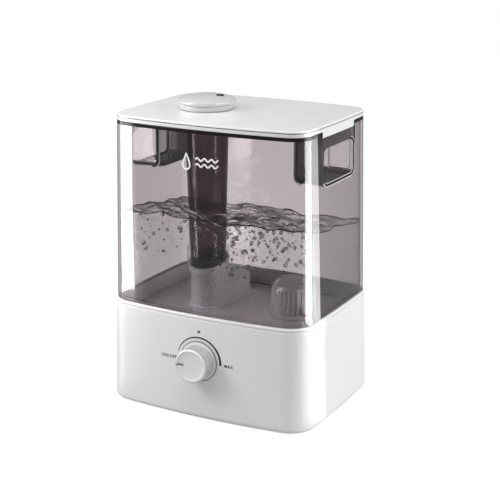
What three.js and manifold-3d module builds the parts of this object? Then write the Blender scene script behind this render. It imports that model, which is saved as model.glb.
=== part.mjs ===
// A top-fill ultrasonic cool mist humidifier: a white base, a smoky water tank that nests in it,
// a flat lid and a turning mist nozzle. Millimetres, +Z up, the front faces -Y. The pieces are laid
// out round the middle of the base, and the group is then moved so that the origin lies on the
// floor under the middle of the whole machine, knob included.
import * as THREE from "three";
import { mergeVertices } from "three/addons/utils/BufferGeometryUtils.js";
import Module from "manifold-3d";

const wasm = await Module();
wasm.setup();

// Driving dimensions of the body.
const HEIGHT = 290; // top of the lid
const BASE_TOP = 106; // top of the base, where the tank starts to show
const BODY_WIDTH = 223.6; // across the base at the floor
const BODY_DEPTH = 176;
const CORNER_RADIUS = 28;
const FRONT_BOW = 7.4; // how far the front and back stand out in the middle
const SIDE_BOW = 2.3;
const BASE_DRAFT = 3; // how far each side of the base leans in over its height
const TANK_DRAFT = 3.8;
const TANK_STEP = 1.2; // the tank is this much smaller than the base all round
const WALL = 2.6;
const ORIGIN_SHIFT = 7.6; // from the middle of the whole machine back to the middle of the base
const GAP = 0.3; // between pieces that touch

// The base.
const BASE_BOTTOM = 1.5; // the housing stands this far off the floor on its feet
const BASE_EDGE_RADIUS = 5.5;
const DECK_SEAM = 102.5; // where the housing ends and the deck begins
const WELL_INSET = 7.6; // the well in the deck that takes the bottom of the tank
const WELL_FLOOR = 84;
const DECK_INSET = 5.8; // the outside of the deck, just clear of the housing
const BASIN = { x: 8.5, y: 3, width: 146, depth: 60, radius: 14, floor: 63.7, bottom: 61.5 };
const COVER_TOP = 5;

// The tank.
const TANK_FLOOR = 89.4;
const NEST_INSET = 8.5; // the part of the tank that goes down into the well
const TANK_RIM = 283.9;
const POCKET = { half: 33, low: 233.5, high: 268, back: 75, ceiling: 276, wall: 2, radius: 8 };
const NOTCH = { half: 35.3, low: 278.4 }; // the dip in the tank's rim under each lid tab

// The lid and what carries the mist.
const LID_SIDE = 5.8;
const LID_PLATE = 2.4;
const MIST = { x: -36, y: -4 }; // axis of the transducer, tube and nozzle
const FAN = { x: -36, y: 48 }; // axis of the fan and its chimney
const VALVE = { x: 53, y: 12 }; // axis of the water valve and its cap
const TUBE_BOTTOM = 133.2;
const TUBE_TOP = 282;

// The dial on the front.
const DIAL_HEIGHT = 61;
const DIAL_RADIUS = 17.2;
const DIAL_DEPTH = 15.6;
const LIGHT_HEIGHT = 90.5;

const finishes = {
  white: { color: 0xe9e9e8, roughness: 0.28, metalness: 0 },
  smoke: { color: 0x6f666a, roughness: 0.08, metalness: 0, transparent: true, opacity: 0.45 },
  darkSmoke: { color: 0x3b3336, roughness: 0.12, metalness: 0 },
  frosted: { color: 0xc9c6c6, roughness: 0.5, metalness: 0, transparent: true, opacity: 0.7 },
  rubber: { color: 0x2a2a2c, roughness: 0.8, metalness: 0 },
  steel: { color: 0xb4b6b8, roughness: 0.35, metalness: 1 },
  aluminium: { color: 0xc4c6c8, roughness: 0.45, metalness: 1 },
  brass: { color: 0xc8a85a, roughness: 0.3, metalness: 1 },
  board: { color: 0x1f5a38, roughness: 0.5, metalness: 0 },
  blackPlastic: { color: 0x202022, roughness: 0.5, metalness: 0 },
  lens: { color: 0xd8e4ea, roughness: 0.2, metalness: 0 },
};

const humidifier = new THREE.Group();
humidifier.position.y = ORIGIN_SHIFT;

// Adds a named piece in one of the finishes above.
function piece(name, finish, geometry) {
  const mesh = new THREE.Mesh(geometry, new THREE.MeshStandardMaterial(finishes[finish]));
  mesh.name = name;
  humidifier.add(mesh);
}

// ---- Solids: joining and cutting ----

function toSolid(geometry) {
  const bare = geometry.clone();
  bare.deleteAttribute("normal");
  bare.deleteAttribute("uv");
  const merged = mergeVertices(bare, 1e-4);
  const vertProperties = new Float32Array(merged.attributes.position.array);
  const triVerts = new Uint32Array(merged.index.array);
  return new wasm.Manifold(new wasm.Mesh({ numProp: 3, vertProperties, triVerts }));
}

function toGeometry(solid) {
  const mesh = solid.getMesh();
  const geometry = new THREE.BufferGeometry();
  geometry.setAttribute("position", new THREE.BufferAttribute(mesh.vertProperties, 3));
  geometry.setIndex(new THREE.BufferAttribute(mesh.triVerts, 1));
  geometry.computeVertexNormals();
  return geometry;
}

function join(first, ...others) {
  return toGeometry(others.reduce((solid, other) => solid.add(toSolid(other)), toSolid(first)));
}

function cut(first, ...others) {
  return toGeometry(others.reduce((solid, other) => solid.subtract(toSolid(other)), toSolid(first)));
}

function common(first, second) {
  return toGeometry(toSolid(first).intersect(toSolid(second)));
}

// The same shape on the other side of the YZ plane, with its faces turned to point outwards again.
function mirrored(geometry) {
  const copy = toGeometry(toSolid(geometry));
  copy.scale(-1, 1, 1);
  const corners = copy.index.array;
  for (let i = 0; i < corners.length; i += 3) {
    [corners[i + 1], corners[i + 2]] = [corners[i + 2], corners[i + 1]];
  }
  return copy;
}

// ---- Basic shapes ----

function block([x0, x1], [y0, y1], [z0, z1]) {
  const box = new THREE.BoxGeometry(x1 - x0, y1 - y0, z1 - z0);
  return box.translate((x0 + x1) / 2, (y0 + y1) / 2, (z0 + z1) / 2);
}

// A round rod standing on the axis (x, y) from z0 to z1.
function rod(radius, z0, z1, { x = 0, y = 0 } = {}, sides = 16) {
  const cylinder = new THREE.CylinderGeometry(radius, radius, z1 - z0, sides);
  return cylinder.rotateX(Math.PI / 2).translate(x, y, (z0 + z1) / 2);
}

// A round rod lying along Y from y0 to y1.
function rodAlongY(radius, y0, y1, { x = 0, z = 0 } = {}, sides = 14) {
  const cylinder = new THREE.CylinderGeometry(radius, radius, y1 - y0, sides);
  return cylinder.translate(x, (y0 + y1) / 2, z);
}

// A turned shape: profile is a list of [radius, height], from the axis outwards and up.
function turned(profile, { x = 0, y = 0 } = {}, sides = 24) {
  const points = profile.map(([radius, height]) => new THREE.Vector2(radius, height));
  return new THREE.LatheGeometry(points, sides).rotateX(Math.PI / 2).translate(x, y, 0);
}

// A turned ring: its profile comes back to where it starts.
function ring(profile, axis, sides) {
  return turned([...profile, profile[0]], axis, sides);
}

// A skin over a stack of loops that all have the same number of points. Closed stacks make a ring,
// and open ones are capped at the first and the last loop.
function skin(loops, closed) {
  const count = loops[0].length;
  const positions = loops.flatMap((loop) => loop.flatMap((point) => point.toArray()));
  const index = [];
  const bands = closed ? loops.length : loops.length - 1;
  for (let k = 0; k < bands; k += 1) {
    const next = (k + 1) % loops.length;
    for (let i = 0; i < count; i += 1) {
      const j = (i + 1) % count;
      const [a, b] = [k * count + i, k * count + j];
      const [c, d] = [next * count + j, next * count + i];
      index.push(a, b, c, a, c, d);
    }
  }
  if (!closed) {
    const ends = [loops[0], loops[loops.length - 1]];
    ends.forEach((loop, end) => {
      const middle = new THREE.Vector3();
      loop.forEach((point) => middle.addScaledVector(point, 1 / count));
      const centre = positions.length / 3;
      positions.push(...middle.toArray());
      const start = end === 0 ? 0 : (loops.length - 1) * count;
      for (let i = 0; i < count; i += 1) {
        const [a, b] = [start + i, start + ((i + 1) % count)];
        index.push(centre, end === 0 ? b : a, end === 0 ? a : b);
      }
    });
  }
  const geometry = new THREE.BufferGeometry();
  geometry.setAttribute("position", new THREE.Float32BufferAttribute(positions, 3));
  geometry.setIndex(index);
  geometry.computeVertexNormals();
  return geometry;
}

// ---- Outlines ----

// Where two circles meet, on the right-hand side going from the first centre to the second.
function circlesMeet(first, firstRadius, second, secondRadius) {
  const across = second.clone().sub(first);
  const distance = across.length();
  const along = (distance ** 2 + firstRadius ** 2 - secondRadius ** 2) / (2 * distance);
  const aside = Math.sqrt(firstRadius ** 2 - along ** 2);
  const direction = across.divideScalar(distance);
  const side = new THREE.Vector2(direction.y, -direction.x);
  const meetings = [1, -1].map((sign) =>
    first.clone().addScaledVector(direction, along).addScaledVector(side, sign * aside),
  );
  return meetings.sort((p, q) => q.x - q.y - (p.x - p.y))[0];
}

function arc(centre, radius, from, to, steps) {
  return Array.from({ length: steps }, (_, i) => {
    const angle = from + ((to - from) * i) / steps;
    return new THREE.Vector2(centre.x + radius * Math.cos(angle), centre.y + radius * Math.sin(angle));
  });
}

// One loop of the body's outline at height z, drawn in from the widest outline by inset: a rounded
// rectangle whose sides are large arcs that run smoothly into the corner arcs.
function bodyLoop(inset, z) {
  const [a, b] = [BODY_WIDTH / 2 - inset, BODY_DEPTH / 2 - inset];
  const corner = Math.max(CORNER_RADIUS - inset, 4);
  const frontRadius = (a * a + FRONT_BOW ** 2) / (2 * FRONT_BOW);
  const sideRadius = (b * b + SIDE_BOW ** 2) / (2 * SIDE_BOW);
  const frontCentre = new THREE.Vector2(0, -b + frontRadius);
  const sideCentre = new THREE.Vector2(a - sideRadius, 0);
  const centre = circlesMeet(frontCentre, frontRadius - corner, sideCentre, sideRadius - corner);
  const frontEnd = Math.atan2(centre.y - frontCentre.y, centre.x - frontCentre.x);
  const sideStart = Math.atan2(centre.y - sideCentre.y, centre.x - sideCentre.x);
  const quarter = [
    ...arc(frontCentre, frontRadius, -Math.PI / 2, frontEnd, 2),
    ...arc(centre, corner, frontEnd, sideStart, 4),
    ...arc(sideCentre, sideRadius, sideStart, 0, 1),
  ];
  const backQuarter = [new THREE.Vector2(a, 0), ...quarter.slice(1).reverse()].map(
    (point, i) => new THREE.Vector2(point.x, i === 0 ? 0 : -point.y),
  );
  const right = [...quarter, ...backQuarter];
  const left = right.map((point) => new THREE.Vector2(-point.x, -point.y));
  return [...right, ...left].map((point) => new THREE.Vector3(point.x, point.y, z));
}

function roundedLoop(width, depth, radius, z, { x = 0, y = 0 } = {}, steps = 4) {
  const corners = [
    [1, -1],
    [1, 1],
    [-1, 1],
    [-1, -1],
  ];
  return corners.flatMap(([sx, sy], i) => {
    const centre = new THREE.Vector2(x + sx * (width / 2 - radius), y + sy * (depth / 2 - radius));
    const start = (i - 1) * (Math.PI / 2);
    const points = arc(centre, radius, start, start + Math.PI / 2, steps);
    const last = start + Math.PI / 2;
    points.push(new THREE.Vector2(centre.x + radius * Math.cos(last), centre.y + radius * Math.sin(last)));
    return points.map((point) => new THREE.Vector3(point.x, point.y, z));
  });
}

// A loop in a plane of constant x, round (0, middle height).
function sidewaysLoop(x, half, low, high, radius) {
  const flat = roundedLoop(2 * half, high - low, radius, 0, { x: 0, y: (low + high) / 2 }, 3);
  return flat.map((point) => new THREE.Vector3(x, point.x, point.y));
}

const bodyRing = (profile) => skin(profile.map(([inset, z]) => bodyLoop(inset, z)), true);
const bodySolid = (profile) => skin(profile.map(([inset, z]) => bodyLoop(inset, z)), false);

const baseInset = (z) => (BASE_DRAFT * z) / BASE_TOP;
const tankInset = (z) => BASE_DRAFT + TANK_STEP + (TANK_DRAFT * (z - BASE_TOP)) / (HEIGHT - BASE_TOP);
const frontFace = (z) => -BODY_DEPTH / 2 + baseInset(z);

// A slotted screw with the outside of its head at height z, pointing up or down.
function screw({ head, headHeight, shank, length }, { x, y }, z, pointsUp) {
  const body = turned(
    [
      [0, 0],
      [head, 0],
      [head, headHeight],
      [shank, headHeight],
      [shank, headHeight + length - 1],
      [0, headHeight + length],
    ],
    {},
    8,
  );
  const slot = block([-head * 0.62, head * 0.62], [-0.4, 0.4], [-1, 0.6]);
  const shape = cut(body, slot);
  return shape.rotateX(pointsUp ? 0 : Math.PI).translate(x, y, z);
}

// ---- Base ----

const coverScrews = [
  { x: 97, y: -42 },
  { x: 97, y: 42 },
  { x: -97, y: 42 },
  { x: -97, y: -42 },
  { x: 0, y: -72 },
  { x: 0, y: 72 },
];
const feet = [
  { x: 78, y: -56, name: "foot_front_right" },
  { x: 78, y: 56, name: "foot_rear_right" },
  { x: -78, y: 56, name: "foot_rear_left" },
  { x: -78, y: -56, name: "foot_front_left" },
];
const boardScrews = [
  { x: 18, y: -34 },
  { x: 88, y: 14 },
];
const fanScrews = [
  { x: FAN.x - 20.5, y: FAN.y - 20.5 },
  { x: FAN.x + 20.5, y: FAN.y + 20.5 },
];
const INLET = { x: 60, z: 24 };
const COVER_SCREW = { head: 2.9, headHeight: 1.2, shank: 1.2, length: 9 };
const SMALL_SCREW = { head: 2.4, headHeight: 1.4, shank: 1.1, length: 7 };
const FAN_SCREW = { head: 2.4, headHeight: 1.4, shank: 1.1, length: 20 };
const BOSS_TOP = 30;

function baseHousing() {
  const outer = [];
  for (let step = 0; step <= 3; step += 1) {
    const angle = (step / 3) * (Math.PI / 2);
    const z = BASE_BOTTOM + BASE_EDGE_RADIUS * (1 - Math.cos(angle));
    outer.push([baseInset(z) + BASE_EDGE_RADIUS * (1 - Math.sin(angle)), z]);
  }
  const shell = bodyRing([
    ...outer,
    [baseInset(DECK_SEAM), DECK_SEAM],
    [baseInset(DECK_SEAM) + WALL, DECK_SEAM],
    [WALL + 0.3, 9.5],
    [8.4, 7],
    [8.4, BASE_BOTTOM],
  ]);
  const bosses = coverScrews.flatMap(({ x, y }) => {
    const post = rod(4.2, COVER_TOP + GAP, BOSS_TOP, { x, y }, 10);
    const across = [-1.2, 1.2]; // the thickness of the web that ties the post to the wall
    const outwards = (at) => [at, at + Math.sign(at) * 13].sort((a, b) => a - b);
    const [spanX, spanY] = x === 0 ? [across, outwards(y)] : [outwards(x), across.map((t) => y + t)];
    return [post, block(spanX, spanY, [9.8, BOSS_TOP - 2])];
  });
  const pilots = coverScrews.map((axis) => rod(COVER_SCREW.shank + GAP, COVER_TOP, 18, axis, 8));
  const dialAxis = { z: DIAL_HEIGHT };
  const dialSeat = rodAlongY(DIAL_RADIUS + 2.8, frontFace(DIAL_HEIGHT) - 4, -85, dialAxis, 32);
  const dialHole = rodAlongY(3.9, -90, -78, dialAxis, 12);
  const lightHole = rodAlongY(1.7, -90, -78, { z: LIGHT_HEIGHT }, 8);
  const inletHole = rodAlongY(5.8, 78, 90, INLET, 16);
  return cut(join(shell, ...bosses), ...pilots, dialSeat, dialHole, lightHole, inletHole);
}

function baseDeck() {
  const tray = bodySolid([
    [DECK_INSET, WELL_FLOOR - 2.5],
    [DECK_INSET, DECK_SEAM + GAP],
    [baseInset(DECK_SEAM), DECK_SEAM + GAP],
    [baseInset(BASE_TOP), BASE_TOP - 0.8],
    [baseInset(BASE_TOP) + 0.8, BASE_TOP],
    [WELL_INSET, BASE_TOP],
    [WELL_INSET + 0.5, WELL_FLOOR],
  ]);
  const { width, depth, radius, floor, bottom } = BASIN;
  const basinOuter = skin(
    [
      roundedLoop(width, depth, radius, bottom, BASIN),
      roundedLoop(width, depth, radius, WELL_FLOOR - 1, BASIN),
    ],
    false,
  );
  const basinInner = skin(
    [
      roundedLoop(width - 6, depth - 6, radius - 2, floor, BASIN),
      roundedLoop(width - 4.4, depth - 4.4, radius - 2, WELL_FLOOR + 1, BASIN),
    ],
    false,
  );
  const chimney = rod(11, 60, 100, FAN, 20);
  const bosses = transducerScrews.map((axis) => rod(3, bottom - 3.6, bottom + 0.5, axis, 8));
  const body = cut(join(tray, basinOuter, chimney), basinInner);
  const pilots = transducerScrews.map((axis) => rod(1.5, bottom - 5, bottom - 0.4, axis, 6));
  const flue = rod(8.8, 59, 101, FAN, 20);
  const transducerHole = rod(8.5, bottom - 1, floor + 1, MIST, 20);
  return cut(join(body, ...bosses), ...pilots, flue, transducerHole);
}

const transducerScrews = [90, 210, 330].map((degrees) => {
  const angle = THREE.MathUtils.degToRad(degrees);
  return { x: MIST.x + 15.5 * Math.cos(angle), y: MIST.y + 15.5 * Math.sin(angle) };
});

function bottomCover() {
  const plate = bodySolid([
    [8.8, 2],
    [8.8, COVER_TOP],
  ]);
  const boardPosts = boardScrews.map((axis) => rod(3, COVER_TOP - 1, 17.7, axis, 8));
  const fanPosts = fanScrews.map((axis) => rod(3, COVER_TOP - 1, 13.7, axis, 8));
  const screwHoles = coverScrews.flatMap((axis) => [
    rod(COVER_SCREW.head + GAP, 1, 3.7, axis, 10),
    rod(COVER_SCREW.shank + GAP, 1, COVER_TOP + 1, axis, 8),
  ]);
  const footHoles = feet.map((axis) => rod(3, 1, COVER_TOP + 1, axis, 10));
  const slots = [-3, -2, -1, 0, 1, 2, 3].map((row) => {
    const y = FAN.y + row * 6;
    const half = Math.sqrt(22 ** 2 - (row * 6) ** 2);
    return block([FAN.x - half, FAN.x + half], [y - 1.6, y + 1.6], [1, COVER_TOP + 0.5]);
  });
  const pilots = [
    ...boardScrews.map((axis) => rod(1.4, 10, 18, axis, 6)),
    ...fanScrews.map((axis) => rod(1.4, 7, 14, axis, 6)),
  ];
  return cut(join(plate, ...boardPosts, ...fanPosts), ...screwHoles, ...footHoles, ...slots, ...pilots);
}

function foot(axis) {
  return turned(
    [
      [0, 0],
      [7.4, 0],
      [8, 0.5],
      [8, 1.7],
      [2.6, 1.7],
      [2.6, COVER_TOP + GAP],
      [3.5, COVER_TOP + GAP],
      [2.2, COVER_TOP + 3],
      [0, COVER_TOP + 3],
    ],
    axis,
    12,
  );
}

piece("base_housing", "white", baseHousing());
piece("base_deck", "white", baseDeck());
piece("bottom_cover", "white", bottomCover());
for (const { name, ...axis } of feet) piece(name, "rubber", foot(axis));
coverScrews.forEach((axis, i) => {
  piece(`cover_screw_${i + 1}`, "steel", screw(COVER_SCREW, axis, 2.2, true));
});

// ---- Dial, light and power inlet ----

const DIAL_BACK = frontFace(DIAL_HEIGHT) - 1.1;
const DIAL_FACE = DIAL_BACK - DIAL_DEPTH;

function bezel() {
  const axis = { z: DIAL_HEIGHT };
  const disc = rodAlongY(DIAL_RADIUS + 2.4, frontFace(DIAL_HEIGHT) - 0.6, -85 - GAP, axis, 32);
  return cut(disc, rodAlongY(3.9, -90, -80, axis, 12));
}

// The knob points to nine o'clock at rest.
function knob() {
  const body = turned(
    [
      [0, DIAL_BACK],
      [DIAL_RADIUS - 0.4, DIAL_BACK],
      [DIAL_RADIUS, DIAL_BACK - 0.6],
      [DIAL_RADIUS - 0.4, DIAL_FACE + 1.4],
      [DIAL_RADIUS - 1.6, DIAL_FACE],
      [DIAL_RADIUS - 4.4, DIAL_FACE + 0.9],
      [0, DIAL_FACE + 1.1],
    ].map(([radius, y]) => [radius, -y]),
    {},
    28,
  );
  body.rotateX(Math.PI / 2).translate(0, 0, DIAL_HEIGHT);
  const notchHeight = [DIAL_HEIGHT - 2.1, DIAL_HEIGHT + 2.1];
  const notch = block([-DIAL_RADIUS - 1, -9], [DIAL_FACE - 2, DIAL_FACE + 2.2], notchHeight);
  const bore = rodAlongY(3.3, DIAL_BACK - 11, DIAL_BACK + 1, { z: DIAL_HEIGHT }, 12);
  return cut(body, notch, bore);
}

function potentiometer() {
  const body = block([-9, 9], [-82.9, -73], [DIAL_HEIGHT - 9, DIAL_HEIGHT + 9]);
  return cut(body, rodAlongY(3.3, -84, -75, { z: DIAL_HEIGHT }, 12));
}

function powerInlet() {
  const body = rodAlongY(5.4, 73, 84.8, INLET, 16);
  const bore = rodAlongY(3.3, 76, 86, INLET, 12);
  return join(cut(body, bore), rodAlongY(1, 75, 83.5, INLET, 6));
}

piece("knob_bezel", "white", bezel());
piece("knob", "white", knob());
piece("dial_shaft", "steel", rodAlongY(3, DIAL_BACK - 10.6, -75.4, { z: DIAL_HEIGHT }, 12));
piece("potentiometer", "blackPlastic", potentiometer());
piece("power_light", "lens", rodAlongY(1.3, frontFace(LIGHT_HEIGHT) - 0.2, -82.7, { z: LIGHT_HEIGHT }, 8));
piece("power_inlet", "blackPlastic", powerInlet());

// ---- Mist maker, float, fan and electronics inside the base ----

const holderTop = BASIN.bottom - 3.9;

function transducerHolder() {
  const plate = ring(
    [
      [8, holderTop - 3.6],
      [18.5, holderTop - 3.6],
      [18.5, holderTop],
      [8, holderTop],
    ],
    MIST,
    20,
  );
  return cut(plate, ...transducerScrews.map((axis) => rod(1.6, holderTop - 5, holderTop + 1, axis, 6)));
}

piece(
  "transducer_seal",
  "rubber",
  ring(
    [
      [8.2, BASIN.bottom - 2.1],
      [11.8, BASIN.bottom - 2.1],
      [11.8, BASIN.bottom - GAP],
      [8.2, BASIN.bottom - GAP],
    ],
    MIST,
    20,
  ),
);
piece("transducer_disc", "brass", rod(11.5, BASIN.bottom - 3.6, BASIN.bottom - 2.4, MIST, 20));
piece("transducer_holder", "aluminium", transducerHolder());
transducerScrews.forEach((axis, i) => {
  piece(`transducer_screw_${i + 1}`, "steel", screw(SMALL_SCREW, axis, holderTop - 5.3, true));
});

const FLOAT = { x: 6, y: 14 };
const floatFloor = BASIN.floor + GAP;
const floatRest = floatFloor + 1.5;
piece(
  "float_guide",
  "white",
  turned(
    [
      [0, floatFloor],
      [6, floatFloor],
      [6, floatFloor + 1.2],
      [1.8, floatFloor + 1.2],
      [1.8, 82],
      [3.6, 82],
      [3.2, 83.2],
      [0, 83.2],
    ],
    FLOAT,
    12,
  ),
);
piece(
  "float",
  "white",
  ring(
    [
      [2.3, floatRest],
      [8.4, floatRest],
      [9, floatRest + 0.8],
      [9, floatRest + 7.7],
      [8.4, floatRest + 8.5],
      [2.3, floatRest + 8.5],
    ],
    FLOAT,
    16,
  ),
);
piece(
  "valve_opener_pin",
  "white",
  turned(
    [
      [0, floatFloor],
      [6, floatFloor],
      [3, floatFloor + 1.5],
      [2.6, 69.7],
      [0, 69.7],
    ],
    VALVE,
    10,
  ),
);

const FAN_BOTTOM = 14;
const FAN_HEIGHT = 15;

function fanFrame() {
  const top = FAN_BOTTOM + FAN_HEIGHT;
  const body = skin(
    [roundedLoop(50, 50, 4, FAN_BOTTOM, FAN, 2), roundedLoop(50, 50, 4, top, FAN, 2)],
    false,
  );
  const open = cut(body, rod(23.3, FAN_BOTTOM - 1, top + 1, FAN, 24));
  const struts = [0, 120, 240].map((degrees) => {
    const strut = block([0, 24], [-1.2, 1.2], [FAN_BOTTOM, FAN_BOTTOM + 1.6]);
    return strut.rotateZ(THREE.MathUtils.degToRad(degrees)).translate(FAN.x, FAN.y, 0);
  });
  const seat = rod(9, FAN_BOTTOM, FAN_BOTTOM + 1.6, FAN, 14);
  const holes = fanScrews.map((axis) => rod(1.6, FAN_BOTTOM - 1, top + 1, axis, 6));
  return cut(join(open, seat, ...struts), ...holes);
}

function fanRotor() {
  const hub = rod(9.5, FAN_BOTTOM + 2.2, FAN_BOTTOM + 14, FAN, 16);
  const blades = Array.from({ length: 7 }, (_, i) => {
    const blade = new THREE.BoxGeometry(14, 1.2, 11).rotateX(THREE.MathUtils.degToRad(38));
    const turn = (i / 7) * 2 * Math.PI;
    return blade.translate(15.4, 0, FAN_BOTTOM + 8.2).rotateZ(turn).translate(FAN.x, FAN.y, 0);
  });
  return join(hub, ...blades);
}

function airDuct() {
  const bottom = FAN_BOTTOM + FAN_HEIGHT + GAP;
  const loops = [
    roundedLoop(50, 50, 5, bottom, FAN, 3),
    roundedLoop(50, 50, 5, bottom + 3, FAN, 3),
    roundedLoop(26.4, 26.4, 13.19, 50, FAN, 3),
    roundedLoop(26.4, 26.4, 13.19, 61, FAN, 3),
    roundedLoop(22.8, 22.8, 11.39, 61, FAN, 3),
    roundedLoop(22.8, 22.8, 11.39, 50.5, FAN, 3),
    roundedLoop(47, 47, 3.5, bottom + 3, FAN, 3),
    roundedLoop(47, 47, 3.5, bottom, FAN, 3),
  ];
  return skin(loops, true);
}

piece("fan_frame", "blackPlastic", fanFrame());
piece("fan_rotor", "blackPlastic", fanRotor());
piece("air_duct", "white", airDuct());
fanScrews.forEach((axis, i) => {
  const top = FAN_BOTTOM + FAN_HEIGHT + GAP + FAN_SCREW.headHeight;
  piece(`fan_screw_${i + 1}`, "steel", screw(FAN_SCREW, axis, top, false));
});

const BOARD_TOP = 19.6;

function driverBoard() {
  const plate = block([13, 93], [-39, 19], [BOARD_TOP - 1.6, BOARD_TOP]);
  return cut(plate, ...boardScrews.map((axis) => rod(1.7, BOARD_TOP - 3, BOARD_TOP + 1, axis, 8)));
}

function heatSink() {
  const base = block([66, 84], [-34, -8], [BOARD_TOP + GAP, BOARD_TOP + 4]);
  const fins = [0, 1, 2, 3, 4].map((i) => {
    const y = -34 + i * 6.1;
    return block([66, 84], [y, y + 1.6], [BOARD_TOP + 3, BOARD_TOP + 20]);
  });
  return join(base, ...fins);
}

piece("driver_board", "board", driverBoard());
piece("heat_sink", "aluminium", heatSink());
boardScrews.forEach((axis, i) => {
  const top = BOARD_TOP + GAP + SMALL_SCREW.headHeight;
  piece(`board_screw_${i + 1}`, "steel", screw(SMALL_SCREW, axis, top, false));
});
piece("board_capacitor", "blackPlastic", rod(6, BOARD_TOP + GAP, BOARD_TOP + 16, { x: 34, y: -12 }, 12));
piece(
  "board_coil",
  "brass",
  ring(
    [
      [3.5, BOARD_TOP + GAP],
      [8.5, BOARD_TOP + GAP],
      [8.5, BOARD_TOP + 8],
      [3.5, BOARD_TOP + 8],
    ],
    { x: 52, y: 4 },
    14,
  ),
);

// ---- Water tank ----

function handlePocket() {
  const { half, low, high, back, ceiling, wall, radius } = POCKET;
  const face = BODY_WIDTH / 2 - tankInset(low);
  const shell = skin(
    [
      sidewaysLoop(back - wall, half - 2.5 + wall, low + 1 - wall, ceiling + wall - 0.4, radius),
      sidewaysLoop(face - 1.2, half + wall, low - wall, ceiling + wall, radius),
    ],
    false,
  );
  const hollow = skin(
    [
      sidewaysLoop(back, half - 2.5, low + 1, ceiling - 0.4, radius - 1),
      sidewaysLoop(face - WALL + 0.2, half, low, ceiling, radius - 1),
    ],
    false,
  );
  const mouth = skin(
    [
      sidewaysLoop(face - WALL, half, low, high, radius - 1),
      sidewaysLoop(face + 3, half, low, high, radius - 1),
    ],
    false,
  );
  return { shell, hollow, mouth };
}

function tankShell() {
  const walls = bodyRing([
    [NEST_INSET + 0.4, TANK_FLOOR + GAP],
    [NEST_INSET, BASE_TOP + 0.4],
    [tankInset(BASE_TOP), BASE_TOP + 0.4],
    [tankInset(TANK_RIM), TANK_RIM],
    [tankInset(TANK_RIM) + WALL, TANK_RIM],
    [tankInset(BASE_TOP + 4) + WALL, BASE_TOP + 4],
    [NEST_INSET + 2.4, BASE_TOP],
    [NEST_INSET + 2.8, TANK_FLOOR + GAP],
  ]);
  const { shell, hollow, mouth } = handlePocket();
  const notch = block([95, 115], [-NOTCH.half, NOTCH.half], [NOTCH.low, HEIGHT]);
  const right = join(walls, shell, mirrored(shell));
  return cut(right, hollow, mirrored(hollow), mouth, mirrored(mouth), notch, mirrored(notch));
}

// A stadium shape: two half circles joined by straight sides, from the mist axis back to the fan's.
function stadiumLoop(radius, z) {
  const length = FAN.y - MIST.y + 2 * radius;
  const middle = { x: MIST.x, y: (MIST.y + FAN.y) / 2 };
  return roundedLoop(2 * radius, length, radius - 0.01, z, middle, 5);
}

function stadium(radius, z0, z1) {
  return skin([stadiumLoop(radius, z0), stadiumLoop(radius, z1)], false);
}

function tankFloor() {
  const plate = bodySolid([
    [NEST_INSET + 0.8, TANK_FLOOR - 2.4],
    [NEST_INSET + 0.4, TANK_FLOOR],
  ]);
  const valveHole = rod(14, TANK_FLOOR - 4, TANK_FLOOR + 1, VALVE, 20);
  return cut(plate, stadium(16, TANK_FLOOR - 4, TANK_FLOOR + 1), valveHole);
}

// The frosted chamber over the transducer and the chimney, with the collar that takes the tube.
// The collar's rim is higher at the back than at the front.
function mistChamber() {
  const low = TANK_FLOOR + GAP;
  const flange = stadium(21, low, low + 1.6);
  const body = stadium(18, low, 108);
  const neck = rod(18, 100, 129.6, MIST, 24);
  const collar = rod(20.4, 122, 146, MIST, 24);
  const above = block([-80, 80], [-80, 80], [0, 60]);
  above.rotateX(THREE.MathUtils.degToRad(19)).translate(MIST.x, MIST.y, 137.4);
  const solid = cut(join(flange, body, neck, collar), above);
  const hollow = stadium(16, low - 1, 106);
  return cut(solid, hollow, rod(15.4, 100, 130, MIST, 24), rod(18.4, 129.6, 150, MIST, 24));
}

function mistTube() {
  const wall = 1.6;
  const [lowRadius, highRadius] = [17.5, 21.8];
  return ring(
    [
      [lowRadius - wall, TUBE_BOTTOM],
      [lowRadius, TUBE_BOTTOM],
      [highRadius, TUBE_TOP],
      [highRadius - wall, TUBE_TOP],
    ],
    MIST,
    28,
  );
}

// The ribbed cap that screens the valve: its foot ring stands off the floor of the tank, and
// openings round its skirt let the water in.
function filterCap() {
  const low = TANK_FLOOR + GAP;
  const shell = turned(
    [
      [0, 121.6],
      [15.5, 121.2],
      [20.4, 117],
      [21.4, low],
      [30, low],
      [30, low + 1.8],
      [23.2, low + 1.8],
      [22.2, 118],
      [20.2, 121.6],
      [16.4, 123.2],
      [0, 123.8],
    ],
    VALVE,
    24,
  );
  const windows = Array.from({ length: 8 }, (_, i) => {
    const slot = block([18, 26], [-2.4, 2.4], [low + 3, low + 9]);
    return slot.rotateZ((i / 8) * 2 * Math.PI).translate(VALVE.x, VALVE.y, 0);
  });
  return cut(shell, ...windows);
}

const SEAT_LOW = 76;

function valveHousing() {
  const barrel = ring(
    [
      [6, SEAT_LOW],
      [13.6, SEAT_LOW],
      [13.6, TANK_FLOOR - 5],
      [17, TANK_FLOOR - 5],
      [17, TANK_FLOOR - 2.7],
      [13.6, TANK_FLOOR - 2.7],
      [13.6, 95],
      [11, 95],
      [11, SEAT_LOW + 1.5],
      [6, SEAT_LOW + 1.5],
    ],
    VALVE,
    20,
  );
  const arms = [0, 120, 240].map((degrees) => {
    const arm = block([0, 12], [-1.1, 1.1], [92, 95]);
    return arm.rotateZ(THREE.MathUtils.degToRad(degrees)).translate(VALVE.x, VALVE.y, 0);
  });
  const hub = rod(4, 92, 95, VALVE, 12);
  return cut(join(barrel, hub, ...arms), rod(2.3, 91, 96, VALVE, 10));
}

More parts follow.
